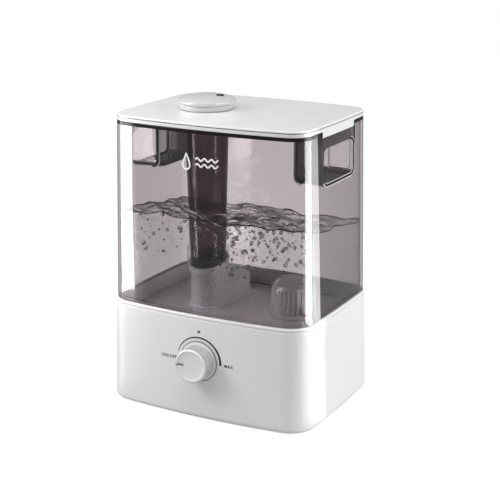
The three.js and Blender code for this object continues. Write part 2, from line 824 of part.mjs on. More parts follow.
function valvePlunger() {
  return turned(
    [
      [0, 70],
      [1.9, 70],
      [1.9, 82],
      [7.6, 82],
      [7.6, 83.6],
      [1.9, 83.6],
      [1.9, 97],
      [0, 97],
    ],
    VALVE,
    14,
  );
}

class Helix extends THREE.Curve {
  constructor(radius, z0, z1, turns) {
    super();
    Object.assign(this, { radius, z0, z1, turns });
  }

  getPoint(t) {
    const angle = t * this.turns * 2 * Math.PI;
    const [x, y] = [this.radius * Math.cos(angle), this.radius * Math.sin(angle)];
    return new THREE.Vector3(VALVE.x + x, VALVE.y + y, this.z0 + (this.z1 - this.z0) * t);
  }
}

function valveSpring() {
  const turns = 3;
  const section = new THREE.Shape(arc({ x: 0, y: 0 }, 0.5, 0, 2 * Math.PI, 5));
  const extrudePath = new Helix(4.6, 84.5, 91.1, turns);
  return new THREE.ExtrudeGeometry(section, { steps: 12 * turns, extrudePath });
}

piece("tank_shell", "smoke", tankShell());
piece("tank_floor", "darkSmoke", tankFloor());
piece("mist_chamber", "frosted", mistChamber());
piece(
  "tube_seal",
  "rubber",
  ring(
    [
      [15.6, 129.9],
      [17.6, 129.9],
      [17.9, 131.4],
      [17.6, TUBE_BOTTOM - GAP],
      [15.6, TUBE_BOTTOM - GAP],
    ],
    MIST,
    24,
  ),
);
piece("mist_tube", "darkSmoke", mistTube());
piece("filter_cap", "frosted", filterCap());
piece("valve_housing", "white", valveHousing());
piece("valve_plunger", "white", valvePlunger());
piece(
  "valve_seal",
  "rubber",
  ring(
    [
      [2.2, 79.6],
      [8.6, 79.6],
      [8.6, 81.7],
      [2.2, 81.7],
    ],
    VALVE,
    16,
  ),
);
piece("valve_spring", "steel", valveSpring());

// ---- Lid and nozzle ----

function lidPanel() {
  const [low, rim] = [HEIGHT - LID_SIDE, tankInset(HEIGHT)];
  const plate = bodySolid([
    [rim + WALL, HEIGHT - LID_PLATE],
    [rim + WALL, low],
    [rim, low],
    [rim, HEIGHT - 0.9],
    [rim + 0.3, HEIGHT - 0.3],
    [rim + 0.9, HEIGHT],
  ]);
  const skirt = bodyRing([
    [tankInset(HEIGHT - LID_SIDE), NOTCH.low + GAP],
    [rim, low + 1],
    [rim + WALL, low + 1],
    [rim + WALL, NOTCH.low + GAP],
  ]);
  const reach = NOTCH.half - GAP;
  const tabs = [1, -1].map((side) => {
    const span = side > 0 ? [90, 115] : [-115, -90];
    return common(skirt, block(span, [-reach, reach], [NOTCH.low, HEIGHT]));
  });
  return cut(join(plate, ...tabs), rod(24, HEIGHT - LID_PLATE - 1, HEIGHT + 1, MIST, 28));
}

function lidSeal() {
  const inner = tankInset(HEIGHT) + WALL + 0.5;
  return bodyRing([
    [inner, 280.4],
    [inner, HEIGHT - LID_PLATE - GAP],
    [inner + 2.2, HEIGHT - LID_PLATE - GAP],
    [inner + 2.2, 280.4],
  ]);
}

const COLLAR_TOP = HEIGHT + 5.6;

function nozzleCollar() {
  return ring(
    [
      [16, 276],
      [19.2, 276],
      [19.2, HEIGHT - LID_PLATE - 0.6],
      [23.7, HEIGHT - LID_PLATE - 0.6],
      [23.7, HEIGHT + GAP],
      [26.4, HEIGHT + GAP],
      [27.4, HEIGHT + 1.2],
      [27.4, COLLAR_TOP],
      [16, COLLAR_TOP],
    ],
    MIST,
    28,
  );
}

// The nozzle's mouth is a scoop in its dome. It faces to the right and a little to the back.
function mistNozzle() {
  const low = COLLAR_TOP + GAP;
  const dome = turned(
    [
      [0, 301.6],
      [10, 301.2],
      [13.6, 300],
      [13.6, 287],
      [15.6, 287],
      [15.6, low],
      [28.2, low],
      [28.8, low + 0.7],
      [28.8, low + 3.2],
      [28.1, low + 3.9],
      [26.4, low + 4.2],
      [19, 302.3],
      [10, 303.5],
      [0, 303.9],
    ],
    MIST,
    28,
  );
  const aim = THREE.MathUtils.degToRad(28);
  const place = (shape) => shape.rotateZ(aim).translate(MIST.x, MIST.y, 0);
  const scoop = block([8, 24.5], [-12, 12], [300.4, 306]);
  const mouth = block([-2, 12], [-9.5, 9.5], [297, 302.4]);
  return cut(dome, place(scoop), place(mouth));
}

piece("lid_panel", "white", lidPanel());
piece("lid_seal", "rubber", lidSeal());
piece("nozzle_collar", "white", nozzleCollar());
piece("mist_nozzle", "white", mistNozzle());

export default humidifier;
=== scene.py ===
"""A top-fill cool mist humidifier: white base with a dial, smoky tank, flat lid and nozzle."""

import math

import bmesh
import bpy
import numpy as np
from bpy.props import (
    FloatProperty, FloatVectorProperty, IntProperty, PointerProperty, StringProperty
)
from bpy.types import Operator, Panel, PropertyGroup
from mathutils import Matrix, Vector


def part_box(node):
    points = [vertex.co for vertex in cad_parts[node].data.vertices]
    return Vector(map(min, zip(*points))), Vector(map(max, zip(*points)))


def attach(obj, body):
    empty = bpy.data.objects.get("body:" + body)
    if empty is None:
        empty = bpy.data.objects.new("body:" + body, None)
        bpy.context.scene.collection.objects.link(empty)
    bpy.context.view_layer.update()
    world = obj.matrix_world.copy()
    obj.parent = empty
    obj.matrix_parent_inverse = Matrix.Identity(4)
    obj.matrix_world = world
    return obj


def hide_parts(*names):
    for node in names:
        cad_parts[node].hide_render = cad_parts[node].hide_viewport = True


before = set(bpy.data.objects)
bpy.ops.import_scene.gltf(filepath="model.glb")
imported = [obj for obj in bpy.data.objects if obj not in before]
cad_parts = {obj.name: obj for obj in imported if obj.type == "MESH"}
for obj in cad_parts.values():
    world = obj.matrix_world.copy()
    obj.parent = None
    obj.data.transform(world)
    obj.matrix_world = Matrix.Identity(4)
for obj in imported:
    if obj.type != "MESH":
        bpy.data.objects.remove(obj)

bl_info = {
    "name": "Cool Mist Humidifier", "version": (1, 0, 0), "blender": (4, 5, 0),
    "location": "View3D > Sidebar > Humidifier",
    "description": "Builds the visible pieces of a top-fill humidifier round its packed frame",
    "category": "Add Mesh",
}

MM = 0.001
SHELL_LOW, SHELL_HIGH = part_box("tank_shell")
MIDDLE = (SHELL_LOW + SHELL_HIGH) / 2  # the upright axis of the body, which the outlines go round

# The body's outline, in millimetres, as it is before any draft.
HALF_WIDTH, HALF_DEPTH = 111.8, 88.0
CORNER = 28.0
FRONT_BOW, SIDE_BOW = 7.4, 2.3
HEIGHT, BASE_TOP, DECK_SEAM = 290.0, 106.0, 102.5
WALL = 2.6
TANK_FLOOR, TANK_RIM, LID_LOW, TAB_LOW = 89.4, 283.9, 284.2, 278.7
RIM_BAND = 280.8  # above this the tank's rim is painted nearly black, as painted shade in the gap under the lid
MIST, FAN, VALVE = (-36.0, -4.0), (-36.0, 48.0), (53.0, 12.0)
CHAMBER = (MIST[0], (MIST[1] + FAN[1]) / 2)  # the middle of the frosted chamber
DIAL_Z, DIAL_R = 61.0, 17.2
LIGHT_Z = 90.5
BASE_DRAFT, TANK_DRAFT = 3.0, 3.8  # how far in the walls lean over their height
ON_FLOOR = 89.7  # what stands in the tank starts a little above its floor
WATER_Z, HALF_WATER = 190, 78  # the middle height of the surface and half its depth
ON_AXIS = 1e-6  # a radius below this is a point on the axis
CAMERA_AT = (584.40, -1075.78, 506.59)
CAMERA_DIP, CAMERA_TURN = 16.247, 28.109  # degrees


# ---- Shader and geometry trees ----


def place(tree, kind, settings=None, values=None, **named):
    """Adds a node: its settings first, then a value or a link for each of its sockets."""
    node = tree.nodes.new(kind)
    for key, setting in (settings or {}).items():
        setattr(node, key, setting)
    named = {key.replace("_", " "): value for key, value in named.items()}
    for key, value in {**(values or {}), **named}.items():
        value = getattr(value, "socket", value)
        if isinstance(value, bpy.types.Node):
            value = value.outputs[0]
        if isinstance(value, bpy.types.NodeSocket):
            tree.links.new(value, node.inputs[key])
        else:
            node.inputs[key].default_value = value
    return node


class Field:
    """A number that varies over a surface, for use in plain sums and products."""

    def __init__(self, tree, socket):
        self.tree = tree
        self.socket = socket

    def math(self, operation, first, second=0.0):
        node = place(self.tree, "ShaderNodeMath", {"operation": operation}, {0: first, 1: second})
        return Field(self.tree, node.outputs[0])

    def __add__(self, other):
        return self.math("ADD", self, other)

    def __sub__(self, other):
        return self.math("SUBTRACT", self, other)

    def __rsub__(self, other):
        return self.math("SUBTRACT", other, self)

    def __mul__(self, other):
        return self.math("MULTIPLY", self, other)

    def __pow__(self, other):
        return self.math("POWER", self, other)

    __radd__ = __add__
    __rmul__ = __mul__

    def above(self, other):
        return self.math("GREATER_THAN", self, other)

    def below(self, other):
        return self.math("LESS_THAN", self, other)

    def line(self, middle, half):
        """1 where the number is at middle, falling to 0 at half away from it."""
        gap = (self - middle).math("ABSOLUTE", self - middle)
        return (1 - gap * (1 / half)).clamped()

    def clamped(self):
        held = self.math("MINIMUM", self, 1.0)
        return held.math("MAXIMUM", held, 0.0)


class Finish:
    """A material under construction, with the patterns that this machine's plastics share."""

    def __init__(self, name, base, roughness, **constants):
        self.material = bpy.data.materials.new(name)
        self.material.use_nodes = True
        self.tree = self.material.node_tree
        self.tree.nodes.clear()
        self.shader = self.add(
            "ShaderNodeBsdfPrincipled", Base_Color=(*base, 1), Roughness=roughness, **constants
        )
        self.output = self.add("ShaderNodeOutputMaterial")
        self.show(self.shader)
        self.place = self.add("ShaderNodeTexCoord").outputs["Object"]

    def add(self, kind, settings=None, values=None, **named):
        return place(self.tree, kind, settings, values, **named)

    def show(self, node):
        self.tree.links.new(node.outputs[0], self.output.inputs["Surface"])

    def mix(self, share, first, second):
        """A shader that goes from the first to the second with share."""
        return self.add("ShaderNodeMixShader", None, {0: share, 1: first, 2: second})

    def noise(self, scale, detail=3.0, stretch=(1, 1, 1)):
        where = self.add("ShaderNodeMapping", Vector=self.place, Scale=stretch)
        made = self.add("ShaderNodeTexNoise", Vector=where, Scale=scale, Detail=detail)
        return Field(self.tree, made.outputs[0])

    def cells(self, scale):
        made = self.add("ShaderNodeTexVoronoi", Vector=self.place, Scale=scale)
        return Field(self.tree, made.outputs["Distance"])

    def where(self):
        apart = self.add("ShaderNodeSeparateXYZ", Vector=self.place)
        return [Field(self.tree, socket) for socket in apart.outputs]

    def facing(self):
        made = self.add("ShaderNodeLayerWeight", Blend=0.5)
        return Field(self.tree, made.outputs["Facing"])

    def tone(self, mask, dark, light):
        """Base colour that goes from dark to light with mask."""
        colours = {0: mask, 6: (*dark, 1), 7: (*light, 1)}
        made = self.add("ShaderNodeMix", {"data_type": "RGBA"}, colours)
        self.tree.links.new(made.outputs[2], self.shader.inputs["Base Color"])

    def rough(self, field):
        self.tree.links.new(field.socket, self.shader.inputs["Roughness"])

    def relief(self, height, strength, distance=0.0002, onto=None):
        bump = self.add("ShaderNodeBump", Height=height, Strength=strength, Distance=distance)
        for shader in onto or [self.shader]:
            self.tree.links.new(bump.outputs[0], shader.inputs["Normal"])

    def clear_sheet(self, passes, edge_power, edge_most, gloss_rough, body_share=0.0, ior=1.5):
        """Makes the finish see-through: tinted, darker edge on, with a mirror shine on top."""
        through = self.add("ShaderNodeBsdfTransparent", Color=(*passes, 1))
        solid = (self.facing() ** edge_power * edge_most + body_share).clamped()
        shine = self.add("ShaderNodeBsdfGlossy", Color=(1, 1, 1, 1), Roughness=gloss_rough)
        straight_on = ((ior - 1) / (ior + 1)) ** 2
        mirror = self.facing() ** 5 * (1 - straight_on) + straight_on
        self.show(self.mix(mirror, self.mix(solid, through, self.shader), shine))
        return shine


def white_plastic(name, shade, roughness=0.26):
    """Glossy white ABS: a faint cloudiness, a moulded skin and rubbed patches in the shine."""
    finish = Finish(name, shade, roughness, IOR=1.5)
    cloud = finish.noise(14, 4)
    finish.tone(cloud, [c * 0.975 for c in shade], [min(c * 1.012, 1) for c in shade])
    rubbed = finish.noise(38, 5, (1, 1, 0.4))
    finish.rough(rubbed * 0.1 + (roughness - 0.05))
    skin = finish.noise(900, 2) * 0.6 + finish.noise(160, 2) * 0.4
    finish.relief(skin, 0.05, 0.0001)
    return finish.material


def smoky_plastic(name, colours, ior):
    """Polished smoky tank wall: mauve tint, darker where the wall is met edge on."""
    finish = Finish(name, (0.055, 0.045, 0.05), 0.12)
    finish.tone(finish.noise(9, 2), (0.045, 0.036, 0.041), (0.07, 0.058, 0.064))
    shine = finish.clear_sheet(colours.smoke, 3.6, 0.9, 0.03, body_share=0.012, ior=ior)
    finish.relief(finish.noise(7, 1), 0.015, 0.001, [finish.shader, shine])
    return finish.material


def smoke_with_painted_shade(colours):
    """The same smoky plastic, darkened as painted shade where the light runs along the wall, as in
    the finger pockets.
    """
    finish = Finish("smoky plastic in painted shade", (0.045, 0.034, 0.038), 0.12)
    finish.tone(finish.noise(40, 3), (0.034, 0.025, 0.029), (0.06, 0.047, 0.052))
    x, y, z = finish.where()
    # The left pocket's upper faces keep little of the painted shade, where light falls in them.
    less_painted_shade = x.below(MIDDLE.x) * y.below(MIDDLE.y + 0.002) * z.above(0.237)
    share = 0.55 - less_painted_shade * 0.5
    finish.clear_sheet([c * 0.8 for c in colours.smoke], 3.0, 0.6, 0.05, body_share=share, ior=1.5)
    finish.relief(finish.noise(60, 2), 0.04, 0.0004)
    return finish.material


def smoke_with_painted_light(colours):
    """Smoky plastic over the pale deck, painted pale and nearly solid as painted light where light
    through the tank falls.
    """
    finish = Finish("smoky plastic in painted light", (0.85, 0.8, 0.81), 0.16)
    finish.tone(finish.noise(16, 3), (0.86, 0.8, 0.81), (0.98, 0.92, 0.93))
    finish.clear_sheet(colours.smoke, 3.0, 0.05, 0.05, body_share=0.9, ior=1.5)
    finish.relief(finish.noise(40, 2), 0.04, 0.0004)
    return finish.material


def painted_shade_line():
    """Nearly black, as painted shade: the dark lines where smoky plastic is seen along its
    thickness at a lip or a rim.
    """
    finish = Finish("smoky edge in painted shade", (0.012, 0.009, 0.011), 0.12, Specular_IOR_Level=0.15)
    finish.tone(finish.noise(55, 3), (0.009, 0.007, 0.008), (0.022, 0.017, 0.02))
    finish.rough(finish.noise(80, 2) * 0.1 + 0.08)
    return finish.material


def painted_glint_line():
    """A painted highlight: pale cords standing for a polished lip that catches the light."""
    finish = Finish("polished edge as painted highlight", (0.8, 0.79, 0.8), 0.1)
    finish.tone(finish.noise(55, 3), (0.7, 0.69, 0.7), (0.86, 0.85, 0.86))
    finish.rough(finish.noise(80, 2) * 0.1 + 0.06)
    return finish.material


def dark_tube_plastic(colours):
    finish = Finish("dark smoky tube plastic", (0.02, 0.014, 0.017), 0.14)
    finish.tone(finish.noise(30, 3, (1, 1, 0.2)), (0.014, 0.01, 0.012), (0.03, 0.022, 0.026))
    shine = finish.clear_sheet(colours.tube, 3.5, 1.0, 0.03, body_share=0.07, ior=1.26)
    finish.relief(finish.noise(60, 2), 0.01, 0.0004, [finish.shader, shine])
    return finish.material


def frosted_plastic(name, shade, body_share, roughness=0.38, speckle=0.35):
    """Milky plastic that lets a share of what is behind it through, with clinging droplets whose
    glints are painted as brighter, more solid specks.
    """
    finish = Finish(name, shade, roughness)
    # Droplets, with their glints painted as brighter and more solid specks.
    droplets_and_glints = finish.noise(420, 3).line(0.64, 0.09) * speckle
    cloud = finish.noise(50, 4) * 0.5 + finish.noise(150, 2) * 0.3 + droplets_and_glints
    finish.tone(cloud.clamped(), [c * (1 - speckle) for c in shade], shade)
    finish.rough(finish.noise(110, 3) * 0.2 + (roughness - 0.08))
    finish.clear_sheet((0.9, 0.88, 0.89), 1.4, 0.4, 0.18, body_share=droplets_and_glints + body_share, ior=1.48)
    finish.relief(finish.cells(700), 0.25, 0.0004)
    return finish.material


def plain_finish(name, shade, roughness, metallic=0.0, grain=300, relief=0.08, stretch=(1, 1, 1)):
    """Rubber, black plastic, boards and bare metal: speckled colour, uneven shine, fine grain."""
    finish = Finish(name, shade, roughness, Metallic=metallic)
    speckle = finish.noise(grain * 0.4, 4, stretch)
    finish.tone(speckle, [c * 0.8 for c in shade], [min(c * 1.15, 1) for c in shade])
    finish.rough(finish.noise(grain * 0.7, 3, stretch) * 0.22 + (roughness - 0.1))
    finish.relief(finish.noise(grain * 2, 2, stretch), relief, 0.0002)
    return finish.material


def water_finish(colours):
    finish = Finish("water", (0.8, 0.85, 0.86), 0.05)
    shine = finish.clear_sheet(colours.water, 5.0, 0.25, 0.02, body_share=0.0, ior=1.33)
    ripples = finish.noise(70, 3, (1, 1, 2)) * 0.7 + finish.noise(24, 2) * 0.3
    finish.relief(ripples, 0.5, 0.003, [shine])
    return finish.material


def water_top(colours):
    """The moving surface: dark and bright curls, painted shade and painted highlights where it
    bends the light away.
    """
    finish = Finish("water surface", (0.5, 0.5, 0.5), 0.06)
    swirl = finish.noise(30, 5, (0.55, 1.5, 1))
    fine = finish.noise(75, 4, (0.6, 1.4, 1))
    x, y, _ = finish.where()
    # Painted shade, widened round the splash by the tube.
    aside, ahead = (x - (MIDDLE.x + 0.035)) * 18.0, (y - (MIDDLE.y - 0.055)) * 26.0
    splash = (1 - (aside * aside + ahead * ahead)).clamped()
    # Dark curls are painted shade, bright curls painted highlights.
    dark = swirl.line(0.5, 0.055) + fine.line(0.47, 0.045) + fine.line(0.55, 0.12) * splash
    bright = (swirl.line(0.6, 0.025) + fine.line(0.62, 0.025)).clamped()
    dark = dark.clamped()
    finish.tone(bright, (0.02, 0.016, 0.018), (0.93, 0.93, 0.93))
    share = (dark * 0.92 + bright * 0.95).clamped()
    finish.clear_sheet(colours.water, 5.0, 0.3, 0.03, body_share=share, ior=1.33)
    finish.relief(swirl, 0.6, 0.004)
    return finish.material


def bubble_finish():
    """Air in water: clear in the middle, dark and bright round the rim."""
    finish = Finish("air bubbles", (0.02, 0.018, 0.02), 0.1)
    finish.clear_sheet((0.95, 0.94, 0.95), 0.9, 1.2, 0.04, body_share=0.12, ior=1.9)
    return finish.material


def board_finish():
    """Green lacquer over copper tracks."""
    finish = Finish("circuit board", (0.03, 0.14, 0.07), 0.35)
    bricks = finish.add("ShaderNodeTexBrick", Vector=finish.place, Scale=160.0, Mortar_Size=0.03)
    tracks = Field(finish.tree, bricks.outputs["Fac"])
    finish.tone(tracks, (0.02, 0.12, 0.06), (0.06, 0.24, 0.11))
    finish.relief(tracks, 0.3, 0.0001)
    return finish.material


# ---- Outlines and meshes, worked out in millimetres round the body's own axis ----


def row_point(x, y, z):
    """A point given round the body's axis, in the row frame."""
    return (x * MM + MIDDLE.x, y * MM + MIDDLE.y, z * MM)


def base_inset(z):
    return BASE_DRAFT * z / BASE_TOP


def tank_inset(z):
    return 4.2 + TANK_DRAFT * (z - BASE_TOP) / (HEIGHT - BASE_TOP)


def turns(count):
    return [2 * math.pi * i / count for i in range(count)]


def on_circle(centre, radius, angles):
    return [(centre[0] + radius * math.cos(a), centre[1] + radius * math.sin(a)) for a in angles]


def arc(centre, radius, start, end, steps):
    return on_circle(centre, radius, np.linspace(start, end, steps, endpoint=False))


def circles_meet(a, ra, b, rb):
    """Where two circles meet, on the side that is right and to the front."""
    a, b = Vector(a), Vector(b)
    across = b - a
    distance = across.length
    along = (distance**2 + ra**2 - rb**2) / (2 * distance)
    aside = math.sqrt(ra**2 - along**2)
    across.normalize()
    side = Vector((across.y, -across.x))
    found = [a + across * along + side * sign * aside for sign in (1, -1)]
    return max(found, key=lambda p: p.x - p.y)


def front_curve(inset):
    """Half width, half depth and radius of the front's bow, at an inset from the widest outline."""
    a, b = HALF_WIDTH - inset, HALF_DEPTH - inset
    return a, b, (a * a + FRONT_BOW**2) / (2 * FRONT_BOW)


def body_outline(inset, fine=1.0):
    """A rounded box whose sides are large arcs, anticlockwise from the middle of the front."""
    a, b, front_radius = front_curve(inset)
    corner = max(CORNER - inset, 4.0)
    side_radius = (b * b + SIDE_BOW**2) / (2 * SIDE_BOW)
    front, side = (0.0, front_radius - b), (a - side_radius, 0.0)
    centre = circles_meet(front, front_radius - corner, side, side_radius - corner)
    turn = math.atan2(centre.y - front[1], centre.x - front[0])
    turned = math.atan2(centre.y - side[1], centre.x - side[0])
    quarter = (
        arc(front, front_radius, -math.pi / 2, turn, int(10 * fine))
        + arc(centre, corner, turn, turned, int(16 * fine))
        + arc(side, side_radius, turned, 0.0, int(6 * fine))
    )
    back = [(a, 0.0)] + [(x, -y) for x, y in quarter[:0:-1]]
    right = quarter + back
    return right + [(-x, -y) for x, y in right]


def rounded_box(width, depth, radius, centre=(0.0, 0.0), steps=8):
    points = []
    for i, (sx, sy) in enumerate([(1, -1), (1, 1), (-1, 1), (-1, -1)]):
        middle = (centre[0] + sx * (width / 2 - radius), centre[1] + sy * (depth / 2 - radius))
        start = (i - 1) * math.pi / 2
        end = start + math.pi / 2
        points += arc(middle, radius, start, end, steps) + on_circle(middle, radius, [end])
    return points


def fillet(profile, closed=False, steps=4):
    """Rounds the corners of a profile. A corner is (a, b) as it is, or (a, b, radius)."""
    made = []
    count = len(profile)
    for i, corner in enumerate(profile):
        here = Vector(corner[:2])
        radius = corner[2] if len(corner) > 2 else 0
        if radius == 0 or (not closed and i in (0, count - 1)):
            made.append((here.x, here.y))
            continue
        before = (Vector(profile[i - 1][:2]) - here).normalized()
        after = (Vector(profile[(i + 1) % count][:2]) - here).normalized()
        half = before.angle(after) / 2
        reach = radius / math.tan(half)
        middle = here + (before + after).normalized() * (radius / math.sin(half))
        first, last = here + before * reach - middle, here + after * reach - middle
        sweep = first.angle_signed(last)
        for k in range(steps + 1):
            spoke = first.copy()
            spoke.rotate(Matrix.Rotation(-sweep * k / steps, 2))
            made.append(tuple(middle + spoke))
    return made


def skin(loops, closed=False):
    """Points and faces over a stack of loops of equal length, each a list of (x, y, z)."""
    count = len(loops[0])
    points = [p for loop in loops for p in loop]
    faces = []
    for k in range(len(loops) if closed else len(loops) - 1):
        low, high = k * count, ((k + 1) % len(loops)) * count
        faces += [
            (low + i, low + (i + 1) % count, high + (i + 1) % count, high + i) for i in range(count)
        ]
    if not closed:
        faces.append(tuple(range(count - 1, -1, -1)))
        top = (len(loops) - 1) * count
        faces.append(tuple(range(top, top + count)))
    return points, faces


def body_skin(profile, closed=False, fine=1.0):
    """A stack of body outlines. The profile is a list of (inset, height)."""
    return skin([[(x, y, z) for x, y in body_outline(inset, fine)] for inset, z in profile], closed)


def lathe(profile, axis=(0.0, 0.0), sides=64, closed=False):
    """A turned shape. The profile is a list of (radius, height), from the bottom out and up."""
    around = turns(sides)
    loops = [
        [(x, y, z) for x, y in on_circle(axis, radius, around)]
        for radius, z in profile
        if radius > ON_AXIS
    ]
    points, faces = skin(loops, closed)
    if closed:
        return points, faces
    rims = faces[-2:]
    faces = faces[:-2]
    for rim, (radius, height) in zip(rims, (profile[0], profile[-1])):
        if radius > ON_AXIS:
            faces.append(rim)
            continue
        points.append((axis[0], axis[1], height))
        pole = len(points) - 1
        faces += [(rim[i], rim[(i + 1) % sides], pole) for i in range(sides)]
    return points, faces


def rod(radius, low, high, axis=(0.0, 0.0), sides=48):
    return lathe([(0, low), (radius, low), (radius, high), (0, high)], axis, sides)


def prism(outline, low, high):
    return skin([[(x, y, z) for x, y in outline] for z in (low, high)])


def oval(radius, steps):
    """The outline of the frosted chamber at that radius."""
    return rounded_box(2 * radius, FAN[1] - MIST[1] + 2 * radius, radius - 0.01, CHAMBER, steps)


def swung_forward(shape, z):
    """A turned shape laid down, so that its axis lies along -Y at height z."""
    points, faces = shape
    return [(px, -pz, z + py) for px, py, pz in points], faces


def block(xs, ys, zs):
    points = [(x, y, z) for z in zs for y in ys for x in xs]
    faces = [(0, 2, 3, 1), (4, 5, 7, 6), (0, 1, 5, 4), (1, 3, 7, 5), (3, 2, 6, 7), (2, 0, 4, 6)]
    return points, faces


def moved(shape, turn=0.0, tilt=0.0, shift=(0.0, 0.0, 0.0)):
    """A shape tilted about X, turned about Z, then shifted."""
    matrix = Matrix.Translation(shift) @ Matrix.Rotation(turn, 4, "Z") @ Matrix.Rotation(
        tilt, 4, "X"
    )
    points, faces = shape
    return [tuple(matrix @ Vector(p)) for p in points], faces


def linked(name, data):
    """A new object in the scene."""
    made = bpy.data.objects.new(name, data)
    bpy.context.scene.collection.objects.link(made)
    return made


def metre_mesh(name, points, faces=()):
    """A mesh object from points that are in metres already."""
    mesh = bpy.data.meshes.new(name)
    mesh.from_pydata(points, [], faces)
    return linked(name, mesh)


def mesh_object(name, shape):
    points, faces = shape
    return metre_mesh(name, [row_point(*p) for p in points], faces)


def tidy_mesh(mesh, weld=2e-6):
    """Welds doubles and turns every face outwards."""
    work = bmesh.new()
    work.from_mesh(mesh)
    bmesh.ops.remove_doubles(work, verts=work.verts, dist=weld)
    bmesh.ops.recalc_face_normals(work, faces=work.faces)
    work.to_mesh(mesh)
    work.free()


def shade(piece, angle=32.0):
    piece.data.polygons.foreach_set("use_smooth", [True] * len(piece.data.polygons))
    piece.data.set_sharp_from_angle(angle=math.radians(angle))


def settle(piece):
    """Makes what the piece's modifiers give its own plain mesh."""
    bpy.context.view_layer.update()
    graph = bpy.context.evaluated_depsgraph_get()
    mesh = bpy.data.meshes.new_from_object(
        piece.evaluated_get(graph), preserve_all_data_layers=True, depsgraph=graph
    )
    piece.modifiers.clear()
    piece.data = mesh
    return piece


def combine(piece, helpers, operation):
    """Cuts helper objects out of a piece, or joins them to it, and removes them."""
    for helper in helpers:
        cutter = piece.modifiers.new("cut", "BOOLEAN")
        cutter.operation = operation
        cutter.solver = "EXACT"
        cutter.object = helper
    settle(piece)
    for helper in helpers:
        bpy.data.objects.remove(helper)
    return piece


def carve(piece, tools, operation="DIFFERENCE"):
    return combine(piece, [build("tool", tool) for tool in tools], operation)


def build(name, shape, cuts=(), joins=()):
    """A clean mesh object from a shape, with the joins added first and the cuts taken out last."""
    made = mesh_object(name, shape)
    tidy_mesh(made.data)
    if joins:
        carve(made, joins, "UNION")
    if cuts:
        carve(made, cuts)
    return made


def soften(piece, width, angle=40.0, segments=2):
    """Breaks the piece's sharp edges by a small round of that width in millimetres."""
    bevel = piece.modifiers.new("edge", "BEVEL")
    bevel.width = width * MM
    bevel.segments = segments
    bevel.limit_method = "ANGLE"
    bevel.angle_limit = math.radians(angle)
    bevel.use_clamp_overlap = True
    return settle(piece)


def fit_out(piece, body, finish, nodes=(), angle=32.0, weld=True):
    """Last steps for a piece: clean mesh, shading, finish, and the body it rides on."""
    if weld:
        tidy_mesh(piece.data)
    shade(piece, angle)
    piece.data.materials.clear()
    piece.data.materials.append(finish_for(finish))
    piece.data.polygons.foreach_set("material_index", [0] * len(piece.data.polygons))
    if nodes:
        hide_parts(*nodes)
    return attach(piece, body)


def refinish(piece, finish, chosen):
    """Gives the faces that chosen(middle in millimetres, normal) picks another finish."""
    piece.data.materials.append(finish_for(finish))
    index = len(piece.data.materials) - 1
    for face in piece.data.polygons:
        x, y, z = face.center
        if chosen(((x - MIDDLE.x) / MM, (y - MIDDLE.y) / MM, z / MM), face.normal):
            face.material_index = index


def cord(path, radius, up, closed=False, sides=8):
    """A thin round cord along a path that lies across the direction up."""
    around = turns(sides)
    points = [Vector(p) for p in path]
    last = len(points) - 1
    loops = []
    for i, point in enumerate(points):
        before = points[i - 1] if closed or i else point
        after = points[(i + 1) % len(points)] if closed or i < last else point
        aside = (after - before).cross(Vector(up)).normalized() * radius
        above = Vector(up) * radius
        loops.append([tuple(point + aside * math.cos(t) + above * math.sin(t)) for t in around])
    return skin(loops, closed)


# ---- Geometry Nodes ----


class Recipe:
    """A Geometry Nodes tree with named inputs, run once and turned into a plain mesh."""

    def __init__(self, name):
        self.tree = bpy.data.node_groups.new(name, "GeometryNodeTree")
        self.tree.is_modifier = True
        for way in ("INPUT", "OUTPUT"):
            self.tree.interface.new_socket(
                name="Geometry", in_out=way, socket_type="NodeSocketGeometry"
            )
        self.entry = self.tree.nodes.new("NodeGroupInput")
        self.exit = self.tree.nodes.new("NodeGroupOutput")
        self.settings = {}

    def takes(self, name, kind, value, low=None):
        """Adds a named input and returns its socket inside the tree."""
        made = self.tree.interface.new_socket(
            name=name, in_out="INPUT", socket_type=f"NodeSocket{kind}"
        )
        if low is not None:
            made.min_value = low
        self.settings[made.identifier] = value
        return self.entry.outputs[name]

    def add(self, kind, settings=None, values=None, **named):
        return place(self.tree, kind, settings, values, **named)

    def run(self, name, result, finish, points=()):
        """Closes the tree with Realize Instances and Set Material, and makes the piece."""
        material = self.takes("Material", "Material", finish_for(finish))
        plain = self.add("GeometryNodeRealizeInstances", Geometry=result)
        coated = self.add("GeometryNodeSetMaterial", Geometry=plain, Material=material)
        self.tree.links.new(coated.outputs[0], self.exit.inputs[0])
        made = mesh_object(name, (points, ()))
        modifier = made.modifiers.new(name, "NODES")
        modifier.node_group = self.tree
        for identifier, value in self.settings.items():
            modifier[identifier] = value
        return settle(made)


def copies_at(name, template, points, finish):
    """The template piece repeated at a list of points."""
    recipe = Recipe(f"{name} at points")
    pattern = recipe.takes("Template", "Object", template)
    source = recipe.add("GeometryNodeObjectInfo", Object=pattern).outputs["Geometry"]
    spots = recipe.entry.outputs["Geometry"]
    placed = recipe.add("GeometryNodeInstanceOnPoints", Points=spots, Instance=source)
    made = recipe.run(name, placed, finish, points)
    bpy.data.objects.remove(template)
    return made


